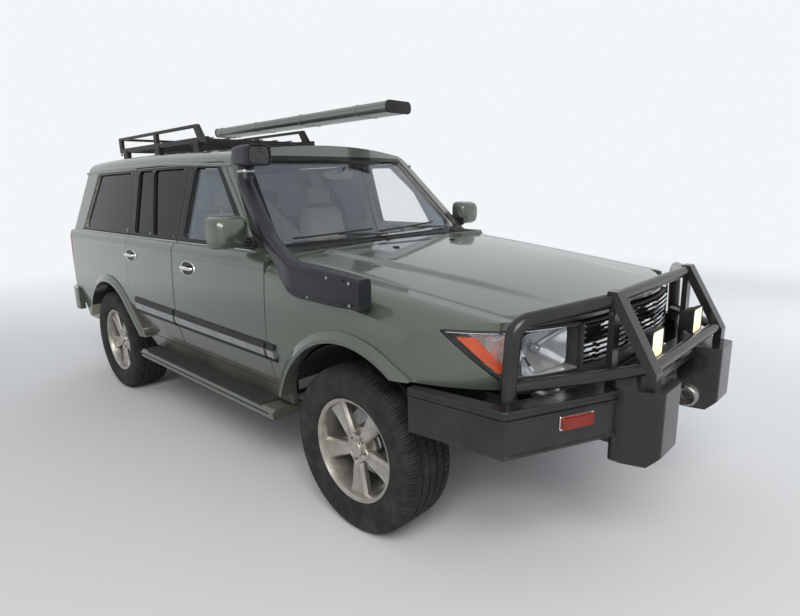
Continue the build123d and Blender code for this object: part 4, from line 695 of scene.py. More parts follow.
def shoulder_arc(t):
    """Centre and radius of the arc from the shoulder to the edge of the top surface."""
    nose = section(NOSE_ROWS, t)
    tub = section(TUB_ROWS, t)
    scale, sh, edge, edge_z, crown = [np.where(np.asarray(t) < 0.56, a, b) for a, b in zip(nose, tub)]
    ax, az = 0.945 * scale - 0.014, sh
    chord = np.hypot(edge - ax, edge_z - az)
    radius = 0.95 * chord
    rise = np.sqrt(radius ** 2 - (chord / 2) ** 2)
    cx = (ax + edge) / 2 - rise * (edge_z - az) / chord
    cz = (az + edge_z) / 2 + rise * (edge - ax) / chord
    return scale, sh, edge, edge_z, crown, cx, cz, radius


def side_x(t, z):
    """Half width of the painted side below the belt, at a station and height."""
    t, z = np.broadcast_arrays(np.asarray(t, float), np.asarray(z, float))
    scale, sh, edge, edge_z, crown, cx, cz, radius = shoulder_arc(t)
    waist = 0.945 * scale
    low = 0.880 + (waist - 0.880) * (z - 0.470) / 0.290
    w = (z - 0.760) / (sh - 0.760)
    middle = waist + 0.010 * w - 0.024 * w * w
    high = cx + np.sqrt(np.maximum(radius ** 2 - (z - cz) ** 2, 0))
    return np.where(z < 0.760, low, np.where(z < sh, middle, high))


def top_z(x, t):
    """Height of the bonnet and scuttle surface over x at a station."""
    x, t = np.broadcast_arrays(np.abs(np.asarray(x, float)), np.asarray(t, float))
    scale, sh, edge, edge_z, crown, cx, cz, radius = shoulder_arc(t)
    flat = crown - (crown - edge_z) * (x / edge) ** 2
    round_ = cz + np.sqrt(np.maximum(radius ** 2 - (x - cx) ** 2, 0))
    return np.where(x < edge, flat, round_)


def cabin_x(t, z):
    """Half width of the cabin side, straight from the belt to the gutter."""
    belt, gutter, gutter_z, edge, crown = section(CABIN_ROWS, t)
    return belt + 0.018 + (gutter - belt - 0.018) * (z - 1.160) / (gutter_z - 1.160)


def circle_through(a, b, c):
    """Centre and radius of the circle through three plan points (x, t)."""
    (ax, ay), (bx, by), (cx, cy) = a, b, c
    d = 2 * (ax * (by - cy) + bx * (cy - ay) + cx * (ay - by))
    aa, bb, cc = ax * ax + ay * ay, bx * bx + by * by, cx * cx + cy * cy
    ux = (aa * (by - cy) + bb * (cy - ay) + cc * (ay - by)) / d
    uy = (aa * (cx - bx) + bb * (ax - cx) + cc * (bx - ax)) / d
    return ux, uy, math.hypot(ax - ux, ay - uy)


NOSE_MIDDLE = circle_through((0.0, -0.878), (0.470, -0.842), (0.780, -0.690))
NOSE_CORNER = circle_through((0.780, -0.690), (0.915, -0.430), (0.949, -0.200))


def at_shares(line, shares):
    """Points of a flat polyline at shares of its number of points."""
    pick = shares * (len(line) - 1)
    return np.stack([np.interp(pick, np.arange(len(line)), line[:, i]) for i in (0, 1)], -1)


def nose_path():
    """Plan path of the nose from its middle out and back to the wing: points (x, t) evenly spaced."""
    x1 = np.linspace(0, 0.780, 300)
    t1 = nose_t(x1)
    t2 = np.linspace(-0.690, -0.200, 200)[1:]
    x2 = NOSE_CORNER[0] + np.sqrt(NOSE_CORNER[2] ** 2 - (t2 - NOSE_CORNER[1]) ** 2)
    path = resample(np.stack([np.append(x1, x2), np.append(t1, t2)], -1), 1200)
    return at_shares(path, np.linspace(0, 1, 900))


def nose_t(x):
    """Station of the nose's plan curve at |x| up to 0.78."""
    return NOSE_MIDDLE[1] - np.sqrt(NOSE_MIDDLE[2] ** 2 - (np.abs(x) - NOSE_MIDDLE[0]) ** 2)


def screen_point(x, z):
    """Station of the windscreen's outer face at x and height z: a cylinder of radius 3.5 leaning back."""
    run = unit(np.array([1.142 - 0.585, 1.790 - 1.240]))
    sink = 3.5 - np.sqrt(3.5 ** 2 - np.asarray(x, float) ** 2)
    # The face moves along its inward normal (run z, -run t) by the sink
    along = (z - 1.240 + sink * run[0]) / run[1]
    return 0.585 + along * run[0] + sink * run[1]


def tail_t(x, z):
    """Station of the tail's outer face above the belt."""
    run = unit(np.array([3.690 - 3.888, 1.800 - 1.250]))
    sink = 3.6 - np.sqrt(3.6 ** 2 - np.asarray(x, float) ** 2)
    along = (z - 1.250 + sink * run[0]) / run[1]
    return 3.888 + along * run[0] - sink * run[1]


def frame_grids(inner, outer, columns):
    """Four grids of flat points, four rows each, that fill a frame between its inner and outer corners."""
    w = np.linspace(0, 1, 4)[:, None, None]
    for i in range(4):
        j = (i + 1) % 4
        near, far = resample([inner[i], inner[j]], columns), resample([outer[i], outer[j]], columns)
        grid = near * (1 - w) + far * w
        yield grid[..., 0], grid[..., 1]


def bead(line, surface, radius=0.004, flat=0.6, proud=0.0, k=10, step=0.02):
    """Rounded bead along a line of (t, z) corners laid on a surface x = f(t, z)."""
    line = np.asarray(line, float)
    length = np.linalg.norm(np.diff(line, axis=0), axis=1).sum()
    tz = resample(line, max(8, int(length / step)))
    path = points3(surface(tz[:, 0], tz[:, 1]) + proud, tz[:, 0], tz[:, 1])
    return carried(round_profile(radius, k, flat), path, up=(1, 0, 0.2))


# Bonnet skin: the nose surface with a raised middle panel between two soft creases, rolled down in front
def hood_shape():
    """Height is the top surface's plus a soft step of 11 mm inside the creases, which close in forwards.

    The step fades out forwards, and the leading edge rolls down over the last 45 mm.
    """
    u, w = np.linspace(-1, 1, 121), np.linspace(0, 1, 88)[:, None]
    front = nose_t(u * 0.715) + 0.020 + 0.012 * np.abs(u) ** 8
    t = front * (1 - w) + 0.558 * w
    half = np.interp(t, [-0.742, 0.561], [0.720, 0.776])
    x = u * half
    crease = 0.430 + 0.150 * np.clip((t + 0.80) / 1.36, 0, 1)
    raised = 0.011 * eased((crease + 0.030 - np.abs(x)) / 0.060) * eased((t + 0.82) / 0.55)
    roll = 0.022 * np.clip((0.045 - (t - front)) / 0.045, 0, 1) ** 2
    edge = 0.004 * np.clip((np.abs(x) - half + 0.006) / 0.006, 0, 1) ** 2
    return slab(points3(x, t, top_z(x, t) + raised + 0.0005 - roll - edge), 0.012, (0, 0, -1))


make("hood_skin", [hood_shape()], paint, "hood", "body_paint", ("hood",), angle=50)
jet_top = top_z(0.245, 0.35) + 0.018
make("washer_jets", [brick((s * 0.245 - 0.014, 0.335, 1.205), (s * 0.245 + 0.014, 0.372, jet_top), 0.008)
                     for s in (-1, 1)], black_plastic, "hood", "matte_black", bevel=0.003)

# Rubbing strips: a black foot, a bright band and a black head, each as (share of half height, how proud)
STRIP_BANDS = (((-1, 0.0), (-0.93, 0.0105), (-0.52, 0.0140), (-0.50, 0.0120)),
               ((-0.50, 0.0120), (-0.46, 0.0165), (0.30, 0.0165), (0.34, 0.0120)),
               ((0.34, 0.0120), (0.36, 0.0140), (0.93, 0.0105), (1, 0.0)))


def moulding(t0, t1):
    """Bands of the strip between two stations; its height and width climb slowly to the rear."""
    t = np.linspace(t0, t1, max(12, int((t1 - t0) / 0.03)))[:, None]
    climb = (t - 0.35) / 2.05
    mid, half = 0.7485 + climb * 0.0205, 0.0480 + climb * 0.0115
    out = []
    for number, band in enumerate(STRIP_BANDS):
        at, proud = np.array(band).T
        z = mid + at * half
        x = side_x(t, z)
        ring = np.concatenate([points3(x + proud, t, z), points3(x - 0.002, t, z)[:, ::-1]], 1)
        out += tagged(number, capped(ring))
    return out


def handle(t0, z0):
    """Chrome pull bowed over an oval bowl painted gloss black as the shade in its recess, with a bright rim:
    the last two are ellipses at chosen depths.
    """
    s = np.linspace(-1, 1, 40)
    t, z = t0 + s * 0.070, z0 + 0.004 * (1 - s * s)
    out = 0.006 + 0.020 * np.sqrt(np.maximum(1 - s ** 4, 0))
    shapes = tagged(0, rod(0.0110, points3(side_x(t, z) + out, t, z), 20, 0.55, up=(1, 0, 0),
                           scale=0.75 + 0.35 * (1 - np.abs(s) ** 3)))
    a = round_angles(64)
    # Number 1 is the bowl, gloss black as painted shade in the recess; number 0 is the chrome rim
    for number, reach, depth in ((1, (1.0, 0.9, 0.6, 0.0), (0.0024, 0.0012, 0.0006, 0.0004)),
                                 (0, (1.10, 1.06, 1.0, 0.95), (-0.001, 0.0042, 0.0050, 0.0010))):
        r, d = np.array(reach)[:, None], np.array(depth)[:, None]
        t, z = t0 + r * 0.086 * np.cos(a), z0 + r * 0.040 * np.sin(a)
        shapes += tagged(number, sheet(points3(side_x(t, z) + d, t, z), wrap_v=True))
    return shapes


for name, body, t0, t1 in (("wing_strip_%s", "root", 0.535, 0.600),
                           ("front_door_strip_%s", "door_front_%s", 0.622, 1.650),
                           ("rear_door_strip_%s", "door_rear_%s", 1.680, 2.300)):
    pair(name, moulding(t0, t1), [black_plastic, satin, black_plastic], body, "matte_black")
# Door pulls: chrome pulls and rims, with their bowls gloss black as painted shade in the recess
for end, t0, z0 in (("front", 1.440, 1.105), ("rear", 2.333, 1.120)):
    pair("handle_" + end + "_%s", handle(t0, z0), [chrome, black_gloss], "door_" + end + "_%s", "chrome_trim")

# Black window surrounds, each on its own panel: inner and outer corners as (t, z)
WINDOW_FRAMES = (
    ("front_door_surround_%s", "door_front_%s",
     [(0.872, 1.272), (1.322, 1.694), (1.590, 1.700), (1.596, 1.272)],
     [(0.800, 1.262), (1.300, 1.710), (1.652, 1.716), (1.652, 1.262)]),
    ("rear_door_surround_%s", "door_rear_%s",
     [(1.728, 1.272), (1.736, 1.700), (2.205, 1.702), (2.040, 1.272)],
     [(1.668, 1.262), (1.668, 1.716), (2.224, 1.716), (2.060, 1.262)]),
    ("rear_vent_surround_%s", "door_rear_%s",
     [(2.078, 1.272), (2.240, 1.702), (2.462, 1.702), (2.360, 1.272)],
     [(2.060, 1.262), (2.224, 1.716), (2.532, 1.716), (2.424, 1.262)]),
    ("quarter_surround_%s", "root",
     [(2.486, 1.276), (2.602, 1.700), (3.330, 1.694), (3.475, 1.280)],
     [(2.440, 1.264), (2.552, 1.716), (3.352, 1.712), (3.510, 1.264)]))
SURROUND_PROUD, SURROUND_THICK = 0.0015, 0.0045
for name, body, inner, outer in WINDOW_FRAMES:
    pair(name, [slab(points3(cabin_x(t, z) + SURROUND_PROUD, t, z), SURROUND_THICK, (-1, 0, 0))
                for t, z in frame_grids(inner, outer, 24)], black_gloss, body, "matte_black", bevel=0.0008)


# Belt weatherstrips with a bright line, and the gutter rail over the doors
def belt_x(t, z):
    """Half width where the cabin meets the painted side: the larger of the two."""
    return np.maximum(cabin_x(t, z), side_x(t, z))


for name, body, t0, t1 in (("belt_seal_door_front_%s_790", "door_front_%s", 0.790, 1.652),
                           ("belt_seal_door_rear_%s_1668", "door_rear_%s", 1.668, 2.424),
                           ("belt_seal_root_%s_2444", "root", 2.444, 3.515)):
    line = np.stack([np.linspace(t0, t1, 40), np.full(40, 1.2585)], -1)
    pair(name, tagged(0, bead(line, cabin_x, 0.0065, 0.9, 0.002))
         + tagged(1, bead(line - (0, 0.0085), belt_x, 0.0028, 0.8, 0.001)), [rubber_seal, chrome], body,
         "matte_black")
gutter_t = np.linspace(1.16, 3.66, 90)
gutter_z = (1.700 + 0.036 * np.clip((gutter_t - 1.16) / 0.9, 0, 1)
            - 0.020 * np.clip((gutter_t - 3.2) / 0.46, 0, 1) ** 2)
pair("gutter_rail_%s", [bead(np.stack([gutter_t, gutter_z], -1), cabin_x, 0.0105, 0.75, 0.002, 14)], paint,
     "root", "body_paint")

# Lamps: lens, silver housing, reflector bowls, divider, amber reflex, and a fluted lens round the corner
NOSE_PATH = nose_path()
LAMP_FOOT, LAMP_HIGH = 0.858, 0.182


def lamp_line(z, inset):
    """Plan line of the lamp at one height: points (x, t) from its inner end to its sloping outer end."""
    end_t = -0.690 + (z - LAMP_FOOT) / LAMP_HIGH * 0.190
    line = resample(NOSE_PATH[(NOSE_PATH[:, 0] >= 0.466) & (NOSE_PATH[:, 1] <= end_t - 0.006)], 200)
    way = unit(np.gradient(line, axis=0))
    return line - np.stack([way[:, 1], -way[:, 0]], -1) * inset


def lamp_sheet(z0, z1, inset, rows, n, first=0.0, last=1.0, bulge=0.0):
    """Grid over the lamp's face, sunk by an inset, between two shares of its length."""
    zs = np.linspace(z0, z1, rows)
    swell = bulge * np.sin(np.pi * (zs - z0) / (z1 - z0))
    shares = np.linspace(first, last, n)
    grid = np.stack([at_shares(lamp_line(z, inset - s), shares) for z, s in zip(zs, swell)])
    return points3(grid[..., 0], grid[..., 1], zs[:, None])


def bowl(centre, way, wide, high, deep):
    """Rectangular-mouthed reflector: superellipse rings that shrink into a paraboloid and grow rounder."""
    across = unit(np.cross((0, 0, 1.0), way))
    s = np.linspace(1, 0.10, 14)[:, None]
    x, z = superellipse(72, wide, high, 2 + 5 * s ** 2)
    sink = deep * (1 - s ** 2)
    grid = (centre + (x * s)[..., None] * across + (z * s)[..., None] * np.array((0, 0, 1.0))
            - sink[..., None] * way)
    return sheet(grid, wrap_v=True)


def lamp_shapes():
    """Parts of the left headlamp: sheets between heights and shares of its length, bowls and bulbs."""
    lens_sheet = lamp_sheet(0.8625, 1.0365, 0.002, 18, 110, bulge=0.0015)
    out = tagged(0, slab(lens_sheet, 0.003, (-0.6, 0.75, 0)))
    out += tagged(2, sheet(lamp_sheet(0.8640, 1.0350, 0.100, 4, 40)))
    for z0, z1 in ((0.859, 0.8645), (1.0345, 1.040)):
        front, rear = [lamp_sheet(z0, z1, inset, 2, 60) for inset in (0.001, 0.100)]
        out += tagged(2, capped(np.stack([front[0], front[1], rear[1], rear[0]], 1)))
    for share in (0.0, 0.985):
        front, rear = [lamp_sheet(0.859, 1.040, inset, 12, 3, share, share + 0.015)
                       for inset in (0.001, 0.100)]
        out += tagged(1, capped(np.concatenate([front, rear[:, ::-1]], 1)))
    main, main_way = points3(0.600, nose_t(0.600) + 0.022, 0.949), unit(np.array([0.16, -1, 0]))
    corner, corner_way = points3(0.772, -0.668, 0.949), unit(np.array([0.62, -0.78, 0]))
    out += tagged(2, bowl(main, main_way, 0.262, 0.166, 0.066), bowl(corner, corner_way, 0.086, 0.150, 0.040))
    out += tagged(3, turned([(0, 0.016), (0.012, 0.016), (0.026, 0.0115), (0.032, 0.0005)],
                            main - main_way * 0.056, main_way, 32))
    out += tagged(4, slab(lamp_sheet(0.864, 1.035, 0.006, 6, 3, 0.555, 0.580), 0.06, (-0.3, 0.95, 0)))
    return out + tagged(5, turned([(0, 0.010), (0.018, 0.010), (0.026, 0.0005)], corner - corner_way * 0.030,
                                  corner_way, 24),
                        slab(lamp_sheet(0.884, 1.016, 0.008, 10, 16, 0.825, 0.955), 0.012, (-0.9, 0.3, 0)))


pair("headlamp_%s", lamp_shapes(), [lamp_lens, black_plastic, reflector, steel, chrome, amber_lens], "root",
     "lamp_clear", ("headlamps",), angle=50)
pair("indicator_flutes_%s",
     [slab(lamp_sheet(0.870, 1.030, 0.0055, 12, 60, 0.590, 0.815), 0.0015, (-0.8, 0.5, 0))],
     fluted_lens, "root", "lamp_clear")
gasket_line = np.concatenate([
    lamp_sheet(0.857, 0.859, -0.001, 2, 60)[0], lamp_sheet(0.857, 1.042, -0.001, 14, 2, 0.98, 1.0)[:, 1],
    lamp_sheet(1.039, 1.042, -0.001, 2, 60)[1, ::-1],
    lamp_sheet(0.857, 1.042, -0.001, 14, 2, 0.0, 0.02)[::-1, 0]])
pair("lamp_gasket_%s", [rod(0.0045, resample(gasket_line, 160, closed=True), closed=True)], rubber_seal,
     "root", "matte_black")

# Grille: curved chrome slats over black mesh, their ends in a black frame
SLAT_BLADE = [(0.0060, -0.0090), (-0.0030, -0.0078), (-0.0085, -0.0030), (-0.0085, 0.0036), (-0.0030, 0.0078),
              (0.0170, 0.0084), (0.0170, 0.0030), (0.0060, -0.0020)]


def grille_shapes():
    """Seven blades, three uprights and a back sheet on the nose's plan curve, in a frame of four bars."""
    x, up = np.linspace(-0.437, 0.437, 90), (0, 1, 0)
    nose, tall = nose_t(x), np.linspace(0.862, 1.034, 6)
    slats = [carried(SLAT_BLADE, points3(x, nose + 0.013 - 0.004 * (n / 6), 0.8790 + n * 0.0232))
             for n in range(7)]
    uprights = [carried(box_profile(0.012, 0.016, 0.003),
                        points3(at, nose_t(at) + 0.030, np.linspace(0.866, 1.030, 6)), up=up)
                for at in (-0.220, 0.0, 0.220)]
    back = slab(points3(x, nose + 0.040, np.linspace(0.862, 1.034, 4)[:, None]), 0.003, (0, 1, 0))
    rails = [carried(box_profile(0.030, 0.007, 0.002), points3(x, nose + 0.020, z)) for z in (0.8645, 1.0325)]
    ends = [carried(box_profile(0.007, 0.030, 0.002), points3(at, nose_t(at) + 0.020, tall), up=up)
            for at in (-0.4375, 0.4375)]
    return tagged(0, *slats) + tagged(1, *uprights, back, *rails, *ends)


make("grille_slats", grille_shapes(), [chrome, mesh_black], "root", "chrome_trim", ("grille",))


# Bar dress: beads on its lower, upper and middle edges, and bolt heads on the hoops' brackets
def bar_shapes():
    """Round beads along the bar's plan line at three heights."""
    out = []
    for radius, k, bend, line in (
            (0.0075, 10, 0.03, [(0.374, -1.058, 0.806), (0.926, -0.812, 0.806), (0.966, -0.402, 0.806)]),
            (0.0075, 10, 0.03, [(0.372, -1.058, 0.640), (0.924, -0.812, 0.640), (0.964, -0.402, 0.640)]),
            (0.0045, 8, 0.02, [(0.392, -1.056, 0.776), (0.930, -0.815, 0.776), (0.969, -0.404, 0.776)])):
        out.append(rod(radius, bent([(x, behind(t), z) for x, t, z in line], bend), k))
    return out + [hex_head(0.012, 0.008, (0.437, behind(-0.950), z), (1, 0, 0)) for z in (0.845, 1.085)]


make("bar_dress", both(bar_shapes()), bar_coat, "root", "bar_black")


# Driving lights: round black bodies, square faces and a lit lens
def driving_light(middle_x):
    """Rings mix a circle and a rounded square by a share of roundness; a flat stalk carries them."""
    face = box_profile(0.126, 0.116, 0.014, 6)
    circle = unit(face) * 0.060

    def skin(rows):
        rings = [(face * (1 - share) + circle * share) * scale for scale, t, share in rows]
        return capped(np.stack([points3(middle_x + ring[:, 0], row[1], 0.948 + ring[:, 1])
                                for ring, row in zip(rings, rows)]))

    body = skin([(0.18, -0.9925, 1), (0.75, -0.994, 1), (0.98, -1.008, 1), (1.0, -1.028, 0.7),
                 (1.0, -1.044, 0),
                 (1.0, -1.058, 0), (0.965, -1.060, 0), (0.925, -1.060, 0), (0.91, -1.050, 0)])
    front = skin([(0.915, -1.0535, 0), (0.915, -1.0565, 0), (0.6, -1.0590, 0), (0.2, -1.0596, 0)])
    stalk = carried(box_profile(0.030, 0.008, 0.002), points3(middle_x, -1.0, np.array([0.816, 0.895])),
                    up=(0, 1, 0))
    return tagged(0, body, stalk) + tagged(1, front)


for number, side in enumerate((-1, 1)):
    make("driving_light_%d" % number, driving_light(side * 0.245), [black_plastic, lit_lens], "root",
         "matte_black", ("driving_lights",) if number else (), bevel=0.001)


# Marker lamps on the bar's wing faces: a pale rim and a red-orange reflex block
def marker_shapes():
    """Rounded rectangles, each layer a scale and a rise, stacked outwards along the wing face."""
    aim = math.atan2(0.248, 0.554)
    along = np.array([math.cos(aim), math.sin(aim), 0])
    outward = np.array([math.sin(aim), -math.cos(aim), 0])
    middle = points3(0.651, -0.9345, 0.730)
    out = []
    for number, wide, high, layers in (
            (0, 0.150, 0.054, ((1, -0.004), (1, 0.004), (0.98, 0.0055))),
            (1, 0.140, 0.045, ((1, 0.003), (1, 0.014), (0.94, 0.018), (0.5, 0.019)))):
        p = box_profile(wide, high, 0.006)
        rings = [middle + p[:, :1] * scale * along + p[:, 1:] * scale * (0, 0, 1.0) + outward * rise
                 for scale, rise in layers]
        out += tagged(number, capped(np.stack(rings)))
    return out


pair("marker_lamp_%s", marker_shapes(), [chrome, marker_lens], "root", "lamp_amber", ("marker_lamps",))

# Winch: wound drum behind the fairlead, rollers, and a hook on its short shank
DRUM_T, DRUM_Z = -0.945, 0.700


def winch_shapes():
    """Rope as a helix of fifteen turns, turned flanges and rollers, and a hook bent round an open arc."""
    a = np.linspace(0, 15 * 2 * np.pi, 600)
    rope = points3(-0.112 + a / a[-1] * 0.224, DRUM_T + 0.0505 * np.cos(a), DRUM_Z + 0.0505 * np.sin(a))
    flange = [(0, 0.076), (0.004, 0.080), (0.010, 0.080), (0.014, 0.070)]
    flat_roller = [(-0.094, 0.011), (-0.090, 0.014), (0.090, 0.014), (0.094, 0.011)]
    tall_roller = [(-0.030, 0.011), (-0.028, 0.013), (0.028, 0.013), (0.030, 0.011)]
    steelwork = [turned(flange, points3(s * 0.128, DRUM_T, DRUM_Z), (s, 0, 0), 64) for s in (-1, 1)]
    steelwork += [turned(flat_roller, points3(0, -1.022, z), (1, 0, 0), 32) for z in (0.676, 0.728)]
    steelwork += [turned(tall_roller, points3(x, -1.018, 0.702), (0, 0, 1), 32) for x in (-0.100, 0.100)]
    arc = np.radians(np.linspace(165, -95, 60))
    curve = points3(-0.012, -1.112 - 0.036 * np.cos(arc), 0.676 + 0.036 * np.sin(arc))
    shank = bent([points3(-0.012, -1.030, 0.700), points3(-0.012, -1.066, 0.702), curve[0]], 0.02)
    hook = rod(0.0100, curve, 16, 1.25, up=(1, 0, 0),
               scale=np.interp(np.arange(60), [0, 30, 59], [0.9, 1.15, 0.6]))
    return (tagged(0, *steelwork) + tagged(1, rod(0.0072, rope, up=(1, 0, 0.01)))
            + tagged(2, hook, rod(0.0110, shank, 14, up=(1, 0, 0.01))))


make("winch_dress", winch_shapes(), [dark_steel, dark_steel, steel], "root", "bar_black")

# Front wheel liners: a barrel round the axle over the tyre, closed by the flat inner wing
LINER_RADIUS, LINER_INNER, LINER_OUTER = 0.487, 0.473, 0.905


def liner_shapes():
    """Barrel: radius times cosine and sine over the top. Wall: straight lines from chord up to arc."""
    turn = np.radians(np.linspace(28, 152, 48))[:, None]
    t, z = LINER_RADIUS * np.cos(turn), AXLE_Z + LINER_RADIUS * np.sin(turn)
    barrel = points3(np.linspace(LINER_INNER, LINER_OUTER, 6), t, z)
    wall = points3(LINER_INNER, t, z[0] + (z - z[0]) * np.linspace(0, 1, 6))
    return [slab(barrel, 0.004, (0, 0, 1)), slab(wall[1:-1], 0.004, (-1, 0, 0))]


pair("wheel_liner_%s", liner_shapes(), black_plastic, "root", "matte_black")


# Wheels and tyres, in a wheel's own frame: out along the axle, back, up
def on_wheel(shape, side, station):
    """Puts a wheel's shape on its hub, mirrored for the right-hand side."""
    verts, faces, *number = on_side(shape, side)
    return verts + (side * WHEEL_X, behind(station), AXLE_Z), faces, *number


# Half of the tyre's section: distance from the middle plane, radius, groove depth
TYRE_HALF = np.array([
    (0.0000, 0.3940, 0), (0.0160, 0.3940, 0), (0.0178, 0.3940, 1), (0.0262, 0.3939, 1), (0.0280, 0.3938, 0),
    (0.0440, 0.3937, 0), (0.0600, 0.3934, 0), (0.0618, 0.3934, 1), (0.0702, 0.3932, 1), (0.0720, 0.3932, 0),
    (0.0840, 0.3927, 0), (0.0960, 0.3918, 0), (0.1060, 0.3900, 0), (0.1140, 0.3870, 0), (0.1210, 0.3815, 0),
    (0.1270, 0.3740, 0), (0.1315, 0.3640, 0), (0.1330, 0.3600, 0), (0.1352, 0.3560, 0), (0.1358, 0.3380, 0),
    (0.1360, 0.3180, 0), (0.1352, 0.3000, 0), (0.1330, 0.2850, 0), (0.1290, 0.2700, 0), (0.1235, 0.2590, 0),
    (0.1160, 0.2500, 0), (0.1085, 0.2465, 0), (0.1050, 0.2400, 0)])
PITCHES = 84
TREAD_TRIM = 0.0002             # keeps the tread off the floor by a hair, as the solid tyre's facets do
# Over one pitch of the tread: share of the pitch, shoulder block cut, narrow cut
TREAD_PITCH = np.array([(0.0, 0, 0), (0.02, 1, 0), (0.15, 1, 0), (0.17, 0, 0), (0.48, 0, 0), (0.50, 0, 1),
                        (0.545, 0, 1), (0.565, 0, 0)])


def tyre_shape():
    """Tyre: its section turned round, less four grooves, cross cuts in the shoulders and sipes in the ribs.

    Radius is the section's less the deepest cut at that point. A cut is 1 between its two edges in the
    pitch of the tread, and a shoulder's cuts run from the outer groove over the edge.
    """
    across, radius, groove = np.concatenate([TYRE_HALF[::-1], TYRE_HALF[1:] * (-1, 1, 1)]).T
    pitch, wide, narrow = TREAD_PITCH.T
    turn = ((np.arange(PITCHES)[:, None] + pitch).ravel() * 2 * np.pi / PITCHES)[:, None]
    wide, narrow = np.tile(wide, PITCHES)[:, None], np.tile(narrow, PITCHES)[:, None]
    shoulder = (np.abs(across) > 0.0715) & (radius > 0.370)
    rib = np.abs(across) < 0.0715
    cut = np.maximum.reduce([0.0085 * groove + 0 * turn, 0.0065 * shoulder * wide, 0.0040 * shoulder * narrow,
                             0.0030 * rib * narrow])
    skew = turn + 0.35 * np.abs(across)
    r = radius - cut - TREAD_TRIM
    return sheet(np.stack([across + 0 * r, r * np.cos(skew), r * np.sin(skew)], -1), wrap_u=True, wrap_v=True)


RIM_SECTION = [
    (0.1160, 0.2455), (0.1160, 0.2415), (0.1140, 0.2398), (0.1128, 0.2360), (0.1095, 0.2346),
    (0.1070, 0.2290), (0.0900, 0.2232), (0.0200, 0.2185), (-0.0600, 0.2165), (-0.1000, 0.2230),
    (-0.1120, 0.2300), (-0.1160, 0.2450), (-0.1120, 0.2455), (-0.1060, 0.2335), (-0.0700, 0.2310),
    (0.0200, 0.2320), (0.0980, 0.2335), (0.1060, 0.2395), (0.1100, 0.2455)]
CAP_SECTION = [(0.0700, 0.0395), (0.0925, 0.0390), (0.0950, 0.0372), (0.0948, 0.0350), (0.0932, 0.0338),
               (0.0938, 0.0325), (0.0952, 0.0200), (0.0956, 0.0005)]
DISC_SECTION = [(-0.040, 0.060), (-0.040, 0.165), (-0.032, 0.165), (-0.032, 0.158), (-0.024, 0.158),
                (-0.024, 0.165), (-0.016, 0.165), (-0.016, 0.098), (0.016, 0.094), (0.022, 0.088),
                (0.022, 0.001)]
# Spoke stations: radius, half width, face distance from the middle plane
SPOKE_LINE = np.array([
    (0.060, 0.0270, 0.0800), (0.072, 0.0290, 0.0855), (0.090, 0.0325, 0.0870), (0.120, 0.0370, 0.0865),
    (0.150, 0.0415, 0.0855), (0.180, 0.0465, 0.0850), (0.203, 0.0515, 0.0860), (0.2215, 0.0570, 0.0890)])
# Spoke section: side of the half width, further across, depth
SPOKE_EDGE = np.array([
    (-1, 0, -0.0150), (-1, 0.0090, -0.0012), (-1, 0.0110, 0.0), (-1, 0.0150, -0.0016), (1, -0.0150, -0.0016),
    (1, -0.0110, 0.0), (1, -0.0090, -0.0012), (1, 0, -0.0150), (1, -0.0040, -0.0400), (-1, 0.0040, -0.0400)])
SPOKE_AIMS = -np.pi / 2 + round_angles(5)         # one spoke points straight down
LUG_CIRCLE = 0.0625


def spoke_shapes():
    """Five broad spokes: a chamfered section with raised edges, widening towards the rim."""
    out = []
    reach, half, face = SPOKE_LINE.T[..., None]
    wide = SPOKE_EDGE[:, 0] * half + SPOKE_EDGE[:, 1]
    depth = face + SPOKE_EDGE[:, 2]
    for aim in SPOKE_AIMS:
        rings = [depth, reach * np.cos(aim) - wide * np.sin(aim), reach * np.sin(aim) + wide * np.cos(aim)]
        out.append(capped(np.stack(rings, -1)))
    return out


def hub_shape():
    """Star hub as a height over the face, with five lug pockets on the spokes' lines.

    Its sides fall away beyond a radius that swells towards each spoke.
    """
    ring = np.concatenate([np.linspace(0.030, 0.050, 5), np.linspace(0.052, 0.092, 26)])[:, None]
    turn = round_angles(320)
    off = np.mod(turn - SPOKE_AIMS[0] + np.pi / 5, 2 * np.pi / 5) - np.pi / 5
    star = 0.060 + 0.026 * (0.5 + 0.5 * np.cos(5 * off)) ** 1.3
    pocket = eased((0.0162 - np.hypot(ring * np.cos(off) - LUG_CIRCLE, ring * np.sin(off))) / 0.004)
    fall = np.clip((ring - star) / 0.010, 0, 1)
    rim = np.exp(-((ring - star + 0.002) / 0.0022) ** 2) * 0.0014
    height = 0.0850 + rim - 0.026 * pocket - 0.040 * fall * fall
    grid = np.stack([height, ring * np.cos(turn), ring * np.sin(turn)], -1)
    back, inner = [edge * (0, 1, 1) + (0.030, 0, 0) for edge in (grid[-1:], grid[:1])]
    return capped(np.concatenate([inner, grid, back]))


def lug_nuts():
    """Six-sided nuts with a rounded top, one in each pocket."""
    a = round_angles(6)
    nut = np.stack([np.stack([np.full(6, out), r * np.cos(a), r * np.sin(a)], -1)
                    for out, r in ((0.050, 0.0098), (0.074, 0.0098), (0.0775, 0.0075))])
    return [capped(nut + (0, LUG_CIRCLE * math.cos(aim), LUG_CIRCLE * math.sin(aim))) for aim in SPOKE_AIMS]


tyre = tyre_shape()
rim_shapes = tagged(0, turned(RIM_SECTION, (0, 0, 0), (1, 0, 0), 128, closed=True), *spoke_shapes(),
                    hub_shape(), turned(CAP_SECTION, (0, 0, 0), (1, 0, 0), 48))
rim_shapes += tagged(1, *lug_nuts()) + tagged(2, turned(DISC_SECTION, (0, 0, 0), (1, 0, 0), 72))
for axle, station in (("front", 0.0), ("rear", WHEELBASE)):
    for hand, side in HANDS:
        wheel, tyre_node = "wheel_%s_%s" % (axle, hand), "tyre_%s_%s" % (axle, hand)
        make(tyre_node + "_tread", [on_wheel(tyre, side, station)], tyre_rubber, wheel, "tyre_rubber",
             (tyre_node,), angle=30)
        make(wheel + "_alloy", [on_wheel(shape, side, station) for shape in rim_shapes],
             [alloy, chrome, steel], wheel, "wheel_alloy", (wheel,), angle=32)

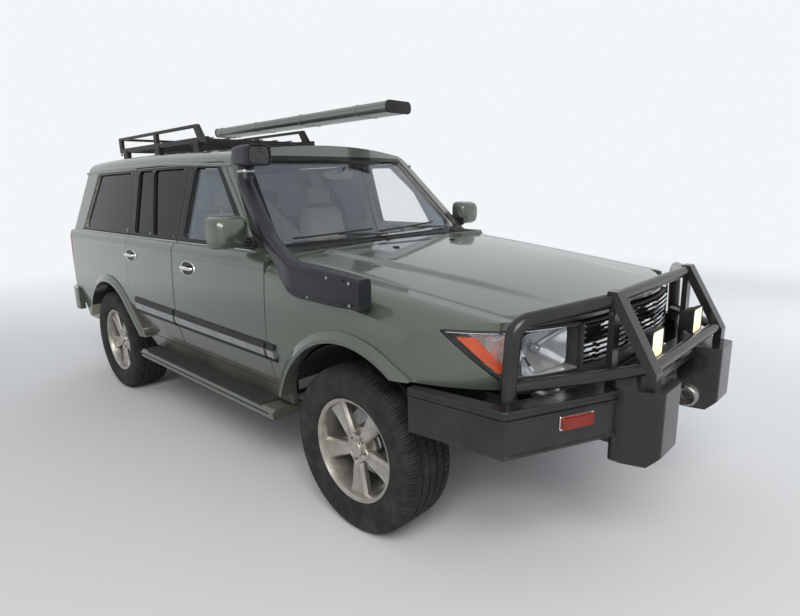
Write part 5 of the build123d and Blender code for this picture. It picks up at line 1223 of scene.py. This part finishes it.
# Snorkel: one skin from the flat wing box up the riser to the neck, a banded joint, and a forward-facing head
SNORKEL_CORNERS = [(-0.9610, -0.168, 1.144), (-0.9610, 0.300, 1.162), (-0.8580, 0.640, 1.309),
                   (-0.7800, 0.972, 1.590), (-0.7620, 0.985, 1.660)]
HEAD_X, HEAD_Z = -0.752, 1.740
# Station, width and height of the head's rings, out from inside its mouth
HEAD_ROWS = [(0.935, 0.110, 0.078), (0.862, 0.122, 0.090), (0.851, 0.130, 0.098), (0.850, 0.140, 0.108),
             (0.853, 0.144, 0.112), (0.900, 0.143, 0.112), (0.980, 0.136, 0.108), (1.030, 0.124, 0.098),
             (1.044, 0.108, 0.084), (1.050, 0.080, 0.060)]


def snorkel_shapes():
    """Riser and head as superellipse rings, turned collars, ridges, bolts, and crossed wires in the mouth."""
    route = resample(bent([(x, behind(t), z) for x, t, z in SNORKEL_CORNERS], 0.16), 130)
    skin = blended(route, [0.070, 0.084, 0.086, 0.084, 0.082, 0.081, 0.081, 0.080, 0.080, 0.082, 0.084],
                   [0.128, 0.146, 0.152, 0.158, 0.140, 0.098, 0.080, 0.076, 0.076, 0.080, 0.086],
                   [5, 5.5, 5.5, 5, 4, 3.2, 3.0, 3.0, 2.8, 2.4, 2.1])
    up = (0, 0, 1)
    collar = turned([(0, 0.043), (0.004, 0.046), (0.060, 0.046), (0.064, 0.043)],
                    points3(-0.762, 0.985, 1.634), up, 48)
    band = turned([(0, 0.0470), (0.002, 0.0480), (0.012, 0.0480), (0.014, 0.0470)],
                  points3(-0.762, 0.985, 1.652), up, 48)
    rings = []
    for t, wide, high in HEAD_ROWS:
        x, z = superellipse(56, wide, high, 5.0)
        rings.append(points3(HEAD_X + x, t, HEAD_Z + z))
    ridge = route[8:52] + (-0.0400, 0, 0)
    ridges = [rod(0.0045, ridge + (0, 0, rise)) for rise in (-0.052, 0.052)]
    bolts = [turned([(0, 0.0075), (0.003, 0.0070), (0.004, 0.0003)], points3(-1.002, t, z), (-1, 0, 0), 20)
             for t, z in ((-0.120, 1.190), (-0.120, 1.100), (0.020, 1.200), (0.160, 1.100))]
    wires = []
    z = np.linspace(-0.044, 0.044, 12)
    for lean in (-1, 1):
        for shift in np.arange(-0.105, 0.106, 0.021):
            x = shift + lean * z * 1.25
            keep = np.abs(x) < 0.060
            if keep.sum() > 1:
                wires.append(rod(0.0013, points3(HEAD_X + x[keep], 0.8565, HEAD_Z + z[keep]), 6,
                                 up=(0, 1, 0)))
    return (tagged(0, skin, collar, capped(np.stack(rings)), *ridges) + tagged(1, band, *bolts)
            + tagged(2, *wires))


make("snorkel_skin", snorkel_shapes(), [snorkel_skin, steel, steel], "root", "matte_black", ("snorkel",))


# Mirrors: rounded shell, silvered glass in a black bezel, and a black foot with a bright line
def mirror_shapes():
    """Superellipse rings backwards for shell, bezel and glass, and sideways for foot and arm."""
    shell_t = np.linspace(0.756, 0.862, 20)
    shell = blended(points3(0.989, shell_t, 1.350), [0.128, 0.176, 0.190, 0.196, 0.200, 0.202, 0.203],
                    [0.100, 0.142, 0.156, 0.162, 0.166, 0.168, 0.169], [3.0, 3.6, 4.0, 4.4, 4.8, 5.0, 5.0],
                    k=64)
    bezel = blended(points3(0.989, [0.862, 0.866, 0.869], 1.350), [0.195, 0.191], [0.161, 0.157], [5, 5],
                    k=48)
    glass = blended(points3(0.989, [0.866, 0.8705], 1.350), [0.181, 0.181], [0.147, 0.147], [5, 5], k=48)
    arm = blended(bent([points3(0.878, 0.806, 1.284), points3(0.925, 0.806, 1.290),
                        points3(0.960, 0.812, 1.318)], 0.03),
                  [0.074, 0.060, 0.050], [0.034, 0.030, 0.030], [4, 4, 3], k=32)
    foot = blended(points3([0.872, 0.893], 0.800, [1.292, 1.290]), [0.100, 0.092], [0.060, 0.052], [4, 4],
                   k=32)
    line = rod(0.0028, points3([0.899, 0.948], [0.768, 0.772], [1.3030, 1.3160]), up=(0, 1, 0))
    return tagged(0, shell) + tagged(1, bezel, arm, foot) + tagged(2, glass) + tagged(3, line)


pair("mirror_shell_%s", mirror_shapes(), [paint, black_plastic, mirror_glass, chrome], "door_front_%s",
     "body_paint", ("mirror_%s",), angle=50)

# Awning: extruded case with lengthwise beads, black end caps and steel clamps, all under the case's top
AWNING_X, AWNING_Z = 0.562, 2.106
AWNING_ENDS = np.array([1.096, 3.504])


def awning_ring(wide, high, round_by, t):
    """Rounded rectangle across the awning at a station."""
    face = box_profile(wide, high, round_by, 10)
    return points3(AWNING_X + face[:, 0], t, AWNING_Z + face[:, 1])


awning_body = [capped(np.stack([awning_ring(0.247, 0.078, 0.032, t) for t in np.linspace(*AWNING_ENDS, 9)]))]
awning_body += [rod(0.0022, points3(AWNING_X + x, AWNING_ENDS, AWNING_Z + z), 6)
                for x, z in ((-0.1235, 0.012), (-0.1235, -0.014), (0.1235, 0.012), (-0.060, 0.0390),
                             (0.030, 0.0390))]
make("awning_body", awning_body, case_metal, "root", "case_grey", ("awning_case",))
awning_caps = []
for t0, t1 in ((1.084, 1.100), (3.500, 3.514)):
    rings = [awning_ring(0.255 * s, 0.0865 * s, 0.036 * s, t)
             for s, t in ((0.94, t0), (0.985, t0 + 0.002), (1.0, t0 + 0.005), (1.0, t1 - 0.003), (0.98, t1))]
    awning_caps.append(capped(np.stack(rings)))
awning_clamps = [rod(0.0035, awning_ring(0.2515, 0.0805, 0.035, t), up=(0, 1, 0), closed=True)
                 for t in (1.420, 2.120, 2.800, 3.420)]
make("awning_dress", tagged(0, *awning_caps) + tagged(1, *awning_clamps), [black_plastic, steel], "root",
     "matte_black")

# Rack: lengthwise wires of the tray and bolt heads on its feet
rack_shapes = [rod(0.0040, points3(x, [1.985, 3.540], 1.922)) for x in np.linspace(-0.40, 0.40, 7)]
rack_shapes += both([hex_head(0.011, 0.007, points3(0.497, t, 1.872), (1, 0, 0))
                     for t in (2.120, 2.780, 3.440)])
make("rack_dress", rack_shapes, rack_coat, "root", "matte_black")

# Running boards: ribbed rubber tread and a dark edge line
step_pad = brick((0.838, 0.640, 0.4615), (0.990, 2.110, 0.4655), 0.012)
step_ribs = [rod(0.0038, points3(x, [0.655, 2.095], 0.4665), 8, 0.7) for x in np.linspace(0.850, 0.978, 9)]
step_edge = rod(0.0060, points3(1.0005, [0.560, 2.170], 0.440), 10, 0.6, up=(1, 0, 0))
pair("step_tread_%s", tagged(0, step_pad, *step_ribs) + tagged(1, step_edge), [tread_pad, black_plastic],
     "root", "matte_black")

# Black border of the windscreen, laid on its face between corners (x, z)
screen_plates = [slab(points3(x, screen_point(x, z) - 0.0020, z), 0.005, (0, 1, 0)) for x, z in frame_grids(
    [(-0.742, 1.272), (-0.626, 1.733), (0.626, 1.733), (0.742, 1.272)],
    [(-0.772, 1.258), (-0.648, 1.756), (0.648, 1.756), (0.772, 1.258)], 16)]
make("screen_border", screen_plates, black_gloss, "root", "matte_black")


# Black scuttle panel with louvres, and the wipers
def scuttle_shapes():
    """Panel from the bonnet's end to the glass, curling up by the square of its share; louvres in threes."""
    x, w = np.linspace(-0.800, 0.800, 60), np.linspace(0, 1, 14)[:, None]
    t = 0.5690 * (1 - w) + (screen_point(x, 1.264) - 0.001) * w
    z = top_z(x, np.maximum(t, 0.5605)) + 0.0025 + 0.012 * w ** 2
    out = [slab(points3(x, t, z), 0.004, (0, 0, -1))]
    for x0 in np.linspace(-0.70, 0.62, 12):
        x = np.linspace(x0, x0 + 0.085, 6)
        out += [rod(0.0022, points3(x, t, top_z(x, 0.5605) + 0.0045), 6) for t in (0.577, 0.586, 0.595)]
    return out


make("scuttle_panel", scuttle_shapes(), [black_plastic], "root", "matte_black")


def wiper(x0, x1, z_tip, blade):
    """Arm from its pivot to the blade's middle, and the bowed blade with its rubber just off the glass."""
    x, z = np.linspace(x0, x1, 24), np.linspace(1.282, z_tip, 24)
    arm = points3(x, screen_point(x, z) - 0.020, z)
    x = np.linspace(x1 - blade / 2, x1 + blade / 2, 40)
    z = z_tip + (x - x1) * 0.035 + 0.004
    lifted = points3(x, screen_point(x, z) - 0.014 - 0.006 * (1 - ((x - x1) / (blade / 2)) ** 2), z)
    rubber = points3(x, screen_point(x, z) - 0.006, z - 0.002)
    pivot = turned([(0, 0.017), (0.016, 0.015), (0.022, 0.010), (0.022, 0.0004)], points3(x0, 0.606, 1.252),
                   (0, -0.35, 1), 28)
    return [rod(0.0055, arm, 10, 0.6, up=(0, -1, 1)), rod(0.0050, lifted), rod(0.0032, rubber, 6), pivot]


make("wipers", wiper(0.560, 0.180, 1.306, 0.56) + wiper(-0.060, -0.400, 1.304, 0.52), black_plastic, "root",
     "matte_black")

# Tail: a plain plate in its recess, garnish, bumper pad and the rear wiper
TAIL_CIRCLE = circle_through((0.800, 3.860), (0.400, 3.905), (0.0, 3.912))


def tail_plate(half_wide, z0, z1, proud, thick):
    """Plate on the vertical tail between two heights, following the circle of its bow."""
    centre_x, centre_t, radius = TAIL_CIRCLE
    x = np.linspace(-half_wide, half_wide, 30)
    t = centre_t + np.sqrt(radius ** 2 - (np.abs(x) - centre_x) ** 2) + proud
    return [slab(points3(x, t, np.linspace(z0, z1, 6)[:, None]), thick, (0, -1, 0))]


make("rear_plate", tail_plate(0.160, 0.905, 1.035, 0.004, 0.003), white_lens, "lower_tailgate", "case_grey")
make("plate_recess", tail_plate(0.200, 0.885, 1.055, 0.0018, 0.003), black_plastic, "lower_tailgate",
     "matte_black")
make("tail_garnish", tail_plate(0.300, 1.070, 1.115, 0.016, 0.018), paint, "lower_tailgate", "body_paint",
     bevel=0.005)
pad_x = np.linspace(-0.86, 0.86, 60)
make("bumper_pad",
     [slab(points3(pad_x, 3.958 - 0.02 * np.abs(pad_x) ** 4, np.linspace(0.690, 0.726, 4)[:, None]),
           0.008, (0, -1, 0))], black_plastic, "root", "matte_black")
arm_x, arm_z = np.linspace(0.02, -0.30, 12), np.linspace(1.285, 1.330, 12)
make("rear_wiper", [rod(0.0055, points3(arm_x, tail_t(arm_x, arm_z) + 0.012, arm_z), 8, 0.6),
                    turned([(0, 0.020), (0.018, 0.018), (0.022, 0.0004)],
                           points3(0.02, tail_t(0.02, 1.283) - 0.004, 1.283), (0, 1, 0.3), 28)],
     black_plastic, "upper_hatch", "matte_black")

# Cabin: stuffed seats
PAD_VOXEL, BENCH_VOXEL = 0.012, 0.014             # wider pads take a wider grid
CUSHION_REACH, REST_REACH = 0.014, 0.006
CLOTH_FRAMES = 20


def stuffed(piece, reach=CUSHION_REACH, fill=0.6, voxel=PAD_VOXEL):
    """Swells a pad as stuffed cloth: remesh, then some frames of pressure.

    Each point is held within a reach of its start.
    """
    bpy.context.view_layer.objects.active = piece
    coarse = piece.modifiers.new("Even", "REMESH")
    coarse.mode, coarse.voxel_size = "VOXEL", voxel
    bpy.ops.object.modifier_apply(modifier=coarse.name)
    mesh = piece.data
    start = np.empty(len(mesh.vertices) * 3, np.float32)
    mesh.vertices.foreach_get("co", start)
    cloth = piece.modifiers.new("Cloth", "CLOTH")
    cloth.settings.quality = 4
    cloth.settings.use_pressure = True
    cloth.settings.uniform_pressure_force = 4
    cloth.settings.effector_weights.gravity = 0
    for frame_number in range(1, CLOTH_FRAMES + 1):
        bpy.context.scene.frame_set(frame_number)
    swollen = np.empty_like(start)
    piece.evaluated_get(bpy.context.evaluated_depsgraph_get()).data.vertices.foreach_get("co", swollen)
    piece.modifiers.remove(cloth)
    bpy.context.scene.frame_set(1)
    move = (swollen - start).reshape(-1, 3)
    move = move * (reach / np.maximum(np.linalg.norm(move, axis=1, keepdims=True), reach))
    mesh.vertices.foreach_set("co", start + move.ravel())
    mesh.update()
    mesh.polygons.foreach_set("use_smooth", np.ones(len(mesh.polygons), bool))
    finer = piece.modifiers.new("Finer", "SUBSURF")
    finer.levels = finer.render_levels = 1


def pillow(low, high, power=7.0, crown=0.018, channels=()):
    """Crowned pad between two corners (x, t, z): a superellipsoid whose top carries grooves across it.

    Its top rises by the crown towards the middle and sinks 9 mm at every channel.
    """
    low, high = np.array(low, float), np.array(high, float)
    mid, half = (low + high) / 2, (high - low) / 2
    u = np.linspace(-np.pi / 2, np.pi / 2, 48)[:, None]
    v = round_angles(96)
    e = 2 / power
    ring = signed(np.cos(u), e * 1.6)
    x, y, z = ring * signed(np.cos(v), e), ring * signed(np.sin(v), e), signed(np.sin(u), e * 2.2) + 0 * v
    top = np.clip(z, 0, 1)
    rise = crown * top * (1 - x * x) * (1 - y * y)
    for at in channels:
        rise = rise - 0.009 * top * np.exp(-((y - at) / 0.035) ** 2) * (np.abs(x) < 0.9)
    return mid[0] + x * half[0], mid[1] + y * half[1], mid[2] + z * half[2] + rise


def back_pad(middle, half_wide, foot, head, thick, channels=()):
    """Backrest pad: a pillow stood up from its foot (t, z) to its head, its crown facing forward."""
    run = math.dist(foot, head)
    x, along, out = pillow((middle - half_wide, 0, 0), (middle + half_wide, run, thick), 7.0, 0.016, channels)
    step_t, step_z = (head[0] - foot[0]) / run, (head[1] - foot[1]) / run
    t = foot[0] + step_t * along - step_z * out
    z = foot[1] + step_z * along + step_t * out
    return [sheet(points3(x, t, z), wrap_v=True)]


def pad(name, shapes, stands_for=(), **more):
    """Makes one stuffed pad of seat cloth."""
    stuffed(make(name, shapes, seat_cloth, "root", "seat_fabric", stands_for), **more)


SEAT_X = 0.400
for hand, side in HANDS:
    seat_x = side * SEAT_X
    base = pillow((seat_x - 0.236, 1.252, 0.775), (seat_x + 0.236, 1.748, 0.888), 6.0, 0.020, (-0.30, 0.34))
    pad("seat_cushion_" + hand, [sheet(points3(*base), wrap_v=True)], ("front_seats",) if side > 0 else ())
    pad("seat_back_" + hand,
        back_pad(seat_x, 0.228, (1.800, 0.905), (1.905, 1.400), 0.096, (-0.35, 0.10, 0.52)))
    pad("headrest_" + hand, back_pad(seat_x, 0.124, (1.908, 1.424), (1.926, 1.552), 0.074), reach=REST_REACH,
        fill=0.8)
    stalks = [rod(0.0060, points3(seat_x + s, [1.868, 1.884], [1.385, 1.440]), 12, up=(0, 1, 0))
              for s in (-0.055, 0.055)]
    rails = [brick((seat_x + s - 0.018, 1.22, 0.645), (seat_x + s + 0.018, 1.84, 0.700))
             for s in (-0.180, 0.180)]
    frame_box = brick((seat_x - 0.20, 1.30, 0.690), (seat_x + 0.20, 1.70, 0.780), 0.02)
    make("seat_frame_" + hand, tagged(0, *stalks) + tagged(1, frame_box, *rails), [steel, dark_trim], "root",
         "cabin_plastic")
bench = pillow((-0.606, 2.092, 0.795), (0.606, 2.550, 0.916), 9.0, 0.014, (-0.2, 0.4))
pad("bench_cushion", [sheet(points3(*bench), wrap_v=True)], ("rear_seat",), voxel=BENCH_VOXEL)
pad("bench_back", back_pad(0, 0.606, (2.612, 0.936), (2.700, 1.392), 0.094, (-0.3, 0.3)), voxel=BENCH_VOXEL)
for side in (-1, 1):
    pad("bench_rest_%d" % (side + 1), back_pad(side * 0.430, 0.120, (2.700, 1.404), (2.712, 1.532), 0.070),
        reach=REST_REACH, fill=0.8)


# Steering wheel: padded rim, four flat spokes and a domed boss, along the column's own axis
def steering_shapes():
    """Circle of radius 179 mm in the plane across the column, superellipse spokes, and a turned boss."""
    centre, tilt = points3(0.400, 1.085, 1.120), math.radians(24)
    column = np.array([0, math.cos(tilt), math.sin(tilt)])
    right, rise = np.array([1.0, 0, 0]), np.array([0, -math.sin(tilt), math.cos(tilt)])
    a = round_angles(96)[:, None]
    out = [rod(0.0135, centre + 0.179 * (np.cos(a) * right + np.sin(a) * rise), 16, up=column, closed=True)]
    for turn in np.radians([18, 162, 232, 308]):
        way = math.cos(turn) * right + math.sin(turn) * rise
        path = [centre + way * reach - column * sink
                for reach, sink in ((0.045, 0.012), (0.11, 0.008), (0.175, 0.0))]
        out.append(blended(path, [0.062, 0.046, 0.036], [0.014, 0.012, 0.014], [4, 4, 3], up=column, k=20))
    boss = [(-0.030, 0.050), (0.000, 0.066), (0.018, 0.064), (0.030, 0.052), (0.036, 0.030), (0.037, 0.0005)]
    return out + [turned(boss, centre - column * 0.004, column, 48)]


make("steering_wheel_rim", steering_shapes(), dark_trim, "root", "cabin_plastic", ("steering_wheel",))

# Dashboard: dial hood, vents and a centre stack with three knobs
hood_z = 1.205 + 0.030 * np.sin(np.linspace(0, np.pi, 20))
dial_hood = blended(points3(np.linspace(0.215, 0.585, 20), 0.870, hood_z), [0.16, 0.19, 0.19, 0.16],
                    [0.020, 0.034, 0.034, 0.020], [3, 3, 3, 3], k=24)
vents = [brick((x - 0.060, 0.975, 1.090), (x + 0.060, 0.990, 1.150)) for x in (-0.660, -0.300, -0.120, 0.660)]
stack = brick((-0.115, 0.930, 0.900), (0.115, 0.994, 1.080), 0.010)
knobs = [turned([(0, 0.020), (0.014, 0.018), (0.018, 0.0004)], points3(x, 0.994, 0.945), (0, 1, 0), 28)
         for x in (-0.07, 0, 0.07)]
make("dash_dress", tagged(0, dial_hood) + tagged(1, *vents, stack, *knobs), [dark_trim, black_plastic],
     "root", "cabin_plastic")

# Inner mirror on its stalk, and the sun visors
mirror_back = blended(points3(0, [1.100, 1.122], [1.640, 1.636]), [0.24, 0.25], [0.060, 0.064], [3, 4], k=36)
mirror_pane = blended(points3(0, [1.1215, 1.1240], [1.636, 1.6355]), [0.232, 0.232], [0.050, 0.050], [4, 4],
                      k=36)
mirror_stalk = rod(0.008, points3(0, [1.040, 1.108], [1.690, 1.652]), 10, up=(1, 0, 0))
make("inner_mirror", tagged(0, mirror_back, mirror_stalk) + tagged(1, mirror_pane), [dark_trim, mirror_glass],
     "root", "cabin_plastic")
visors = [brick((x - 0.20, 1.175, 1.735), (x + 0.20, 1.330, 1.755), 0.02) for x in (-0.36, 0.36)]
make("sun_visors", visors, headliner, "root", "cabin_plastic", bevel=0.006)

# Floor, light and camera
PALE = (0.90, 0.92, 0.94)
FLOOR_HALF = 60


def floor_finish():
    """Pale floor that keeps the shadow near the object and melts into the backdrop further off."""
    finish = Finish("floor", Roughness=0.9)
    grey = finish.noise(0.6, 2.0)
    finish.set("Base Color", finish.mix(grey, (0.79, 0.80, 0.81), (0.83, 0.83, 0.83)))
    x, y, z = finish.xyz()
    far = ((x * x + y * y) ** 0.5).smooth(3.6, 9.5)
    rays = finish.node("ShaderNodeLightPath")
    seen = rays["Is Camera Ray"].most(rays["Is Glossy Ray"]).most(rays["Is Transmission Ray"])
    glow = finish.node("ShaderNodeEmission", Color=PALE)["Emission"]
    mixed = finish.tree.nodes.new("ShaderNodeMixShader")
    finish.join(mixed.inputs[0], far * seen)
    finish.tree.links.new(finish.shader.outputs[0], mixed.inputs[1])
    finish.join(mixed.inputs[2], glow)
    finish.tree.links.new(mixed.outputs[0], finish.tree.nodes["Material Output"].inputs["Surface"])
    return finish


floor_mesh = bpy.data.meshes.new("floor")
floor_corners = [(x * FLOOR_HALF, y * FLOOR_HALF, 0) for x, y in ((-1, -1), (1, -1), (1, 1), (-1, 1))]
floor_mesh.from_pydata(floor_corners, [], [(0, 1, 2, 3)])
floor_mesh.materials.append(floor_finish().material)
floor = bpy.data.objects.new("floor", floor_mesh)
bpy.context.scene.collection.objects.link(floor)

world = bpy.data.worlds.new("studio")
bpy.context.scene.world = world
world.use_nodes = True
sky = world.node_tree
ambient = sky.nodes["Background"]
ambient.inputs["Color"].default_value = (0.88, 0.93, 1.0, 1)
ambient.inputs["Strength"].default_value = 0.42
backdrop = sky.nodes.new("ShaderNodeBackground")
backdrop.inputs["Color"].default_value = (*PALE, 1)
rays = sky.nodes.new("ShaderNodeLightPath")
seen = Wire(sky, rays.outputs["Is Camera Ray"]).most(Wire(sky, rays.outputs["Is Transmission Ray"]))
seen = seen.most(Wire(sky, rays.outputs["Is Glossy Ray"]) * 0.75)
choose = sky.nodes.new("ShaderNodeMixShader")
sky.links.new(seen.socket, choose.inputs[0])
sky.links.new(ambient.outputs[0], choose.inputs[1])
sky.links.new(backdrop.outputs[0], choose.inputs[2])
sky.links.new(choose.outputs[0], sky.nodes["World Output"].inputs["Surface"])


def placed(name, data, axes, place):
    """Adds a lamp or camera whose side, up and back axes are given."""
    piece = bpy.data.objects.new(name, data)
    piece.matrix_world = Matrix([[*row, p] for row, p in zip(np.stack(axes, 1), place)] + [[0, 0, 0, 1]])
    bpy.context.scene.collection.objects.link(piece)
    return piece


def softbox(name, place, aim, wide, high, watts, colour=(1, 1, 1), mirrored=True):
    """Area lamp at a place, turned towards a point; an unmirrored one leaves no edge in glass and paint."""
    data = bpy.data.lights.new(name, "AREA")
    data.shape, data.size, data.size_y = "RECTANGLE", wide, high
    data.energy, data.color = watts, colour
    back = unit(np.array(place, float) - np.array(aim, float))
    side = unit(np.cross((0, 0, 1.0), back))
    lamp = placed(name, data, (side, np.cross(back, side), back), place)
    lamp.visible_camera = False
    lamp.visible_glossy = mirrored


softbox("key", (-4.5, -5.0, 5.5), (0, 0, 0.7), 4.5, 3.0, 330, (1.0, 0.97, 0.93))
softbox("overhead", (0, 0.5, 7.5), (0, 0.5, 1.0), 20.0, 20.0, 1300, (0.86, 0.93, 1.0))
softbox("fill", (5.5, -3.5, 3.0), (0, -0.5, 0.9), 4.0, 3.0, 110, (0.95, 0.97, 1.0), False)
softbox("behind", (2.5, 6.5, 4.0), (0, 0.8, 1.0), 5.0, 3.0, 150, mirrored=False)

# Camera, solved from the photograph
CAMERA_PLACE = (-2.4058, -3.1791, 1.5752)
CAMERA_TURN, CAMERA_RAISE, CAMERA_ROLL = np.radians([-45.768, 12.754, -1.259])
FOCAL_PIXELS, PHOTO_WIDE = 549.17, 800
back = np.array([math.sin(CAMERA_TURN) * math.cos(CAMERA_RAISE),
                 -math.cos(CAMERA_TURN) * math.cos(CAMERA_RAISE),
                 math.sin(CAMERA_RAISE)])
level = np.array([math.cos(CAMERA_TURN), math.sin(CAMERA_TURN), 0.0])
upright = np.cross(back, level)
camera_data = bpy.data.cameras.new("camera")
camera_data.sensor_width = 36.0
camera_data.lens = 36.0 * FOCAL_PIXELS / PHOTO_WIDE
camera_data.clip_start = 0.05
rolled = (level * math.cos(CAMERA_ROLL) + upright * math.sin(CAMERA_ROLL),
          upright * math.cos(CAMERA_ROLL) - level * math.sin(CAMERA_ROLL), back)
bpy.context.scene.camera = placed("camera", camera_data, rolled, CAMERA_PLACE)
bpy.context.scene.view_settings.view_transform = "Standard"

bpy.context.view_layer.update()
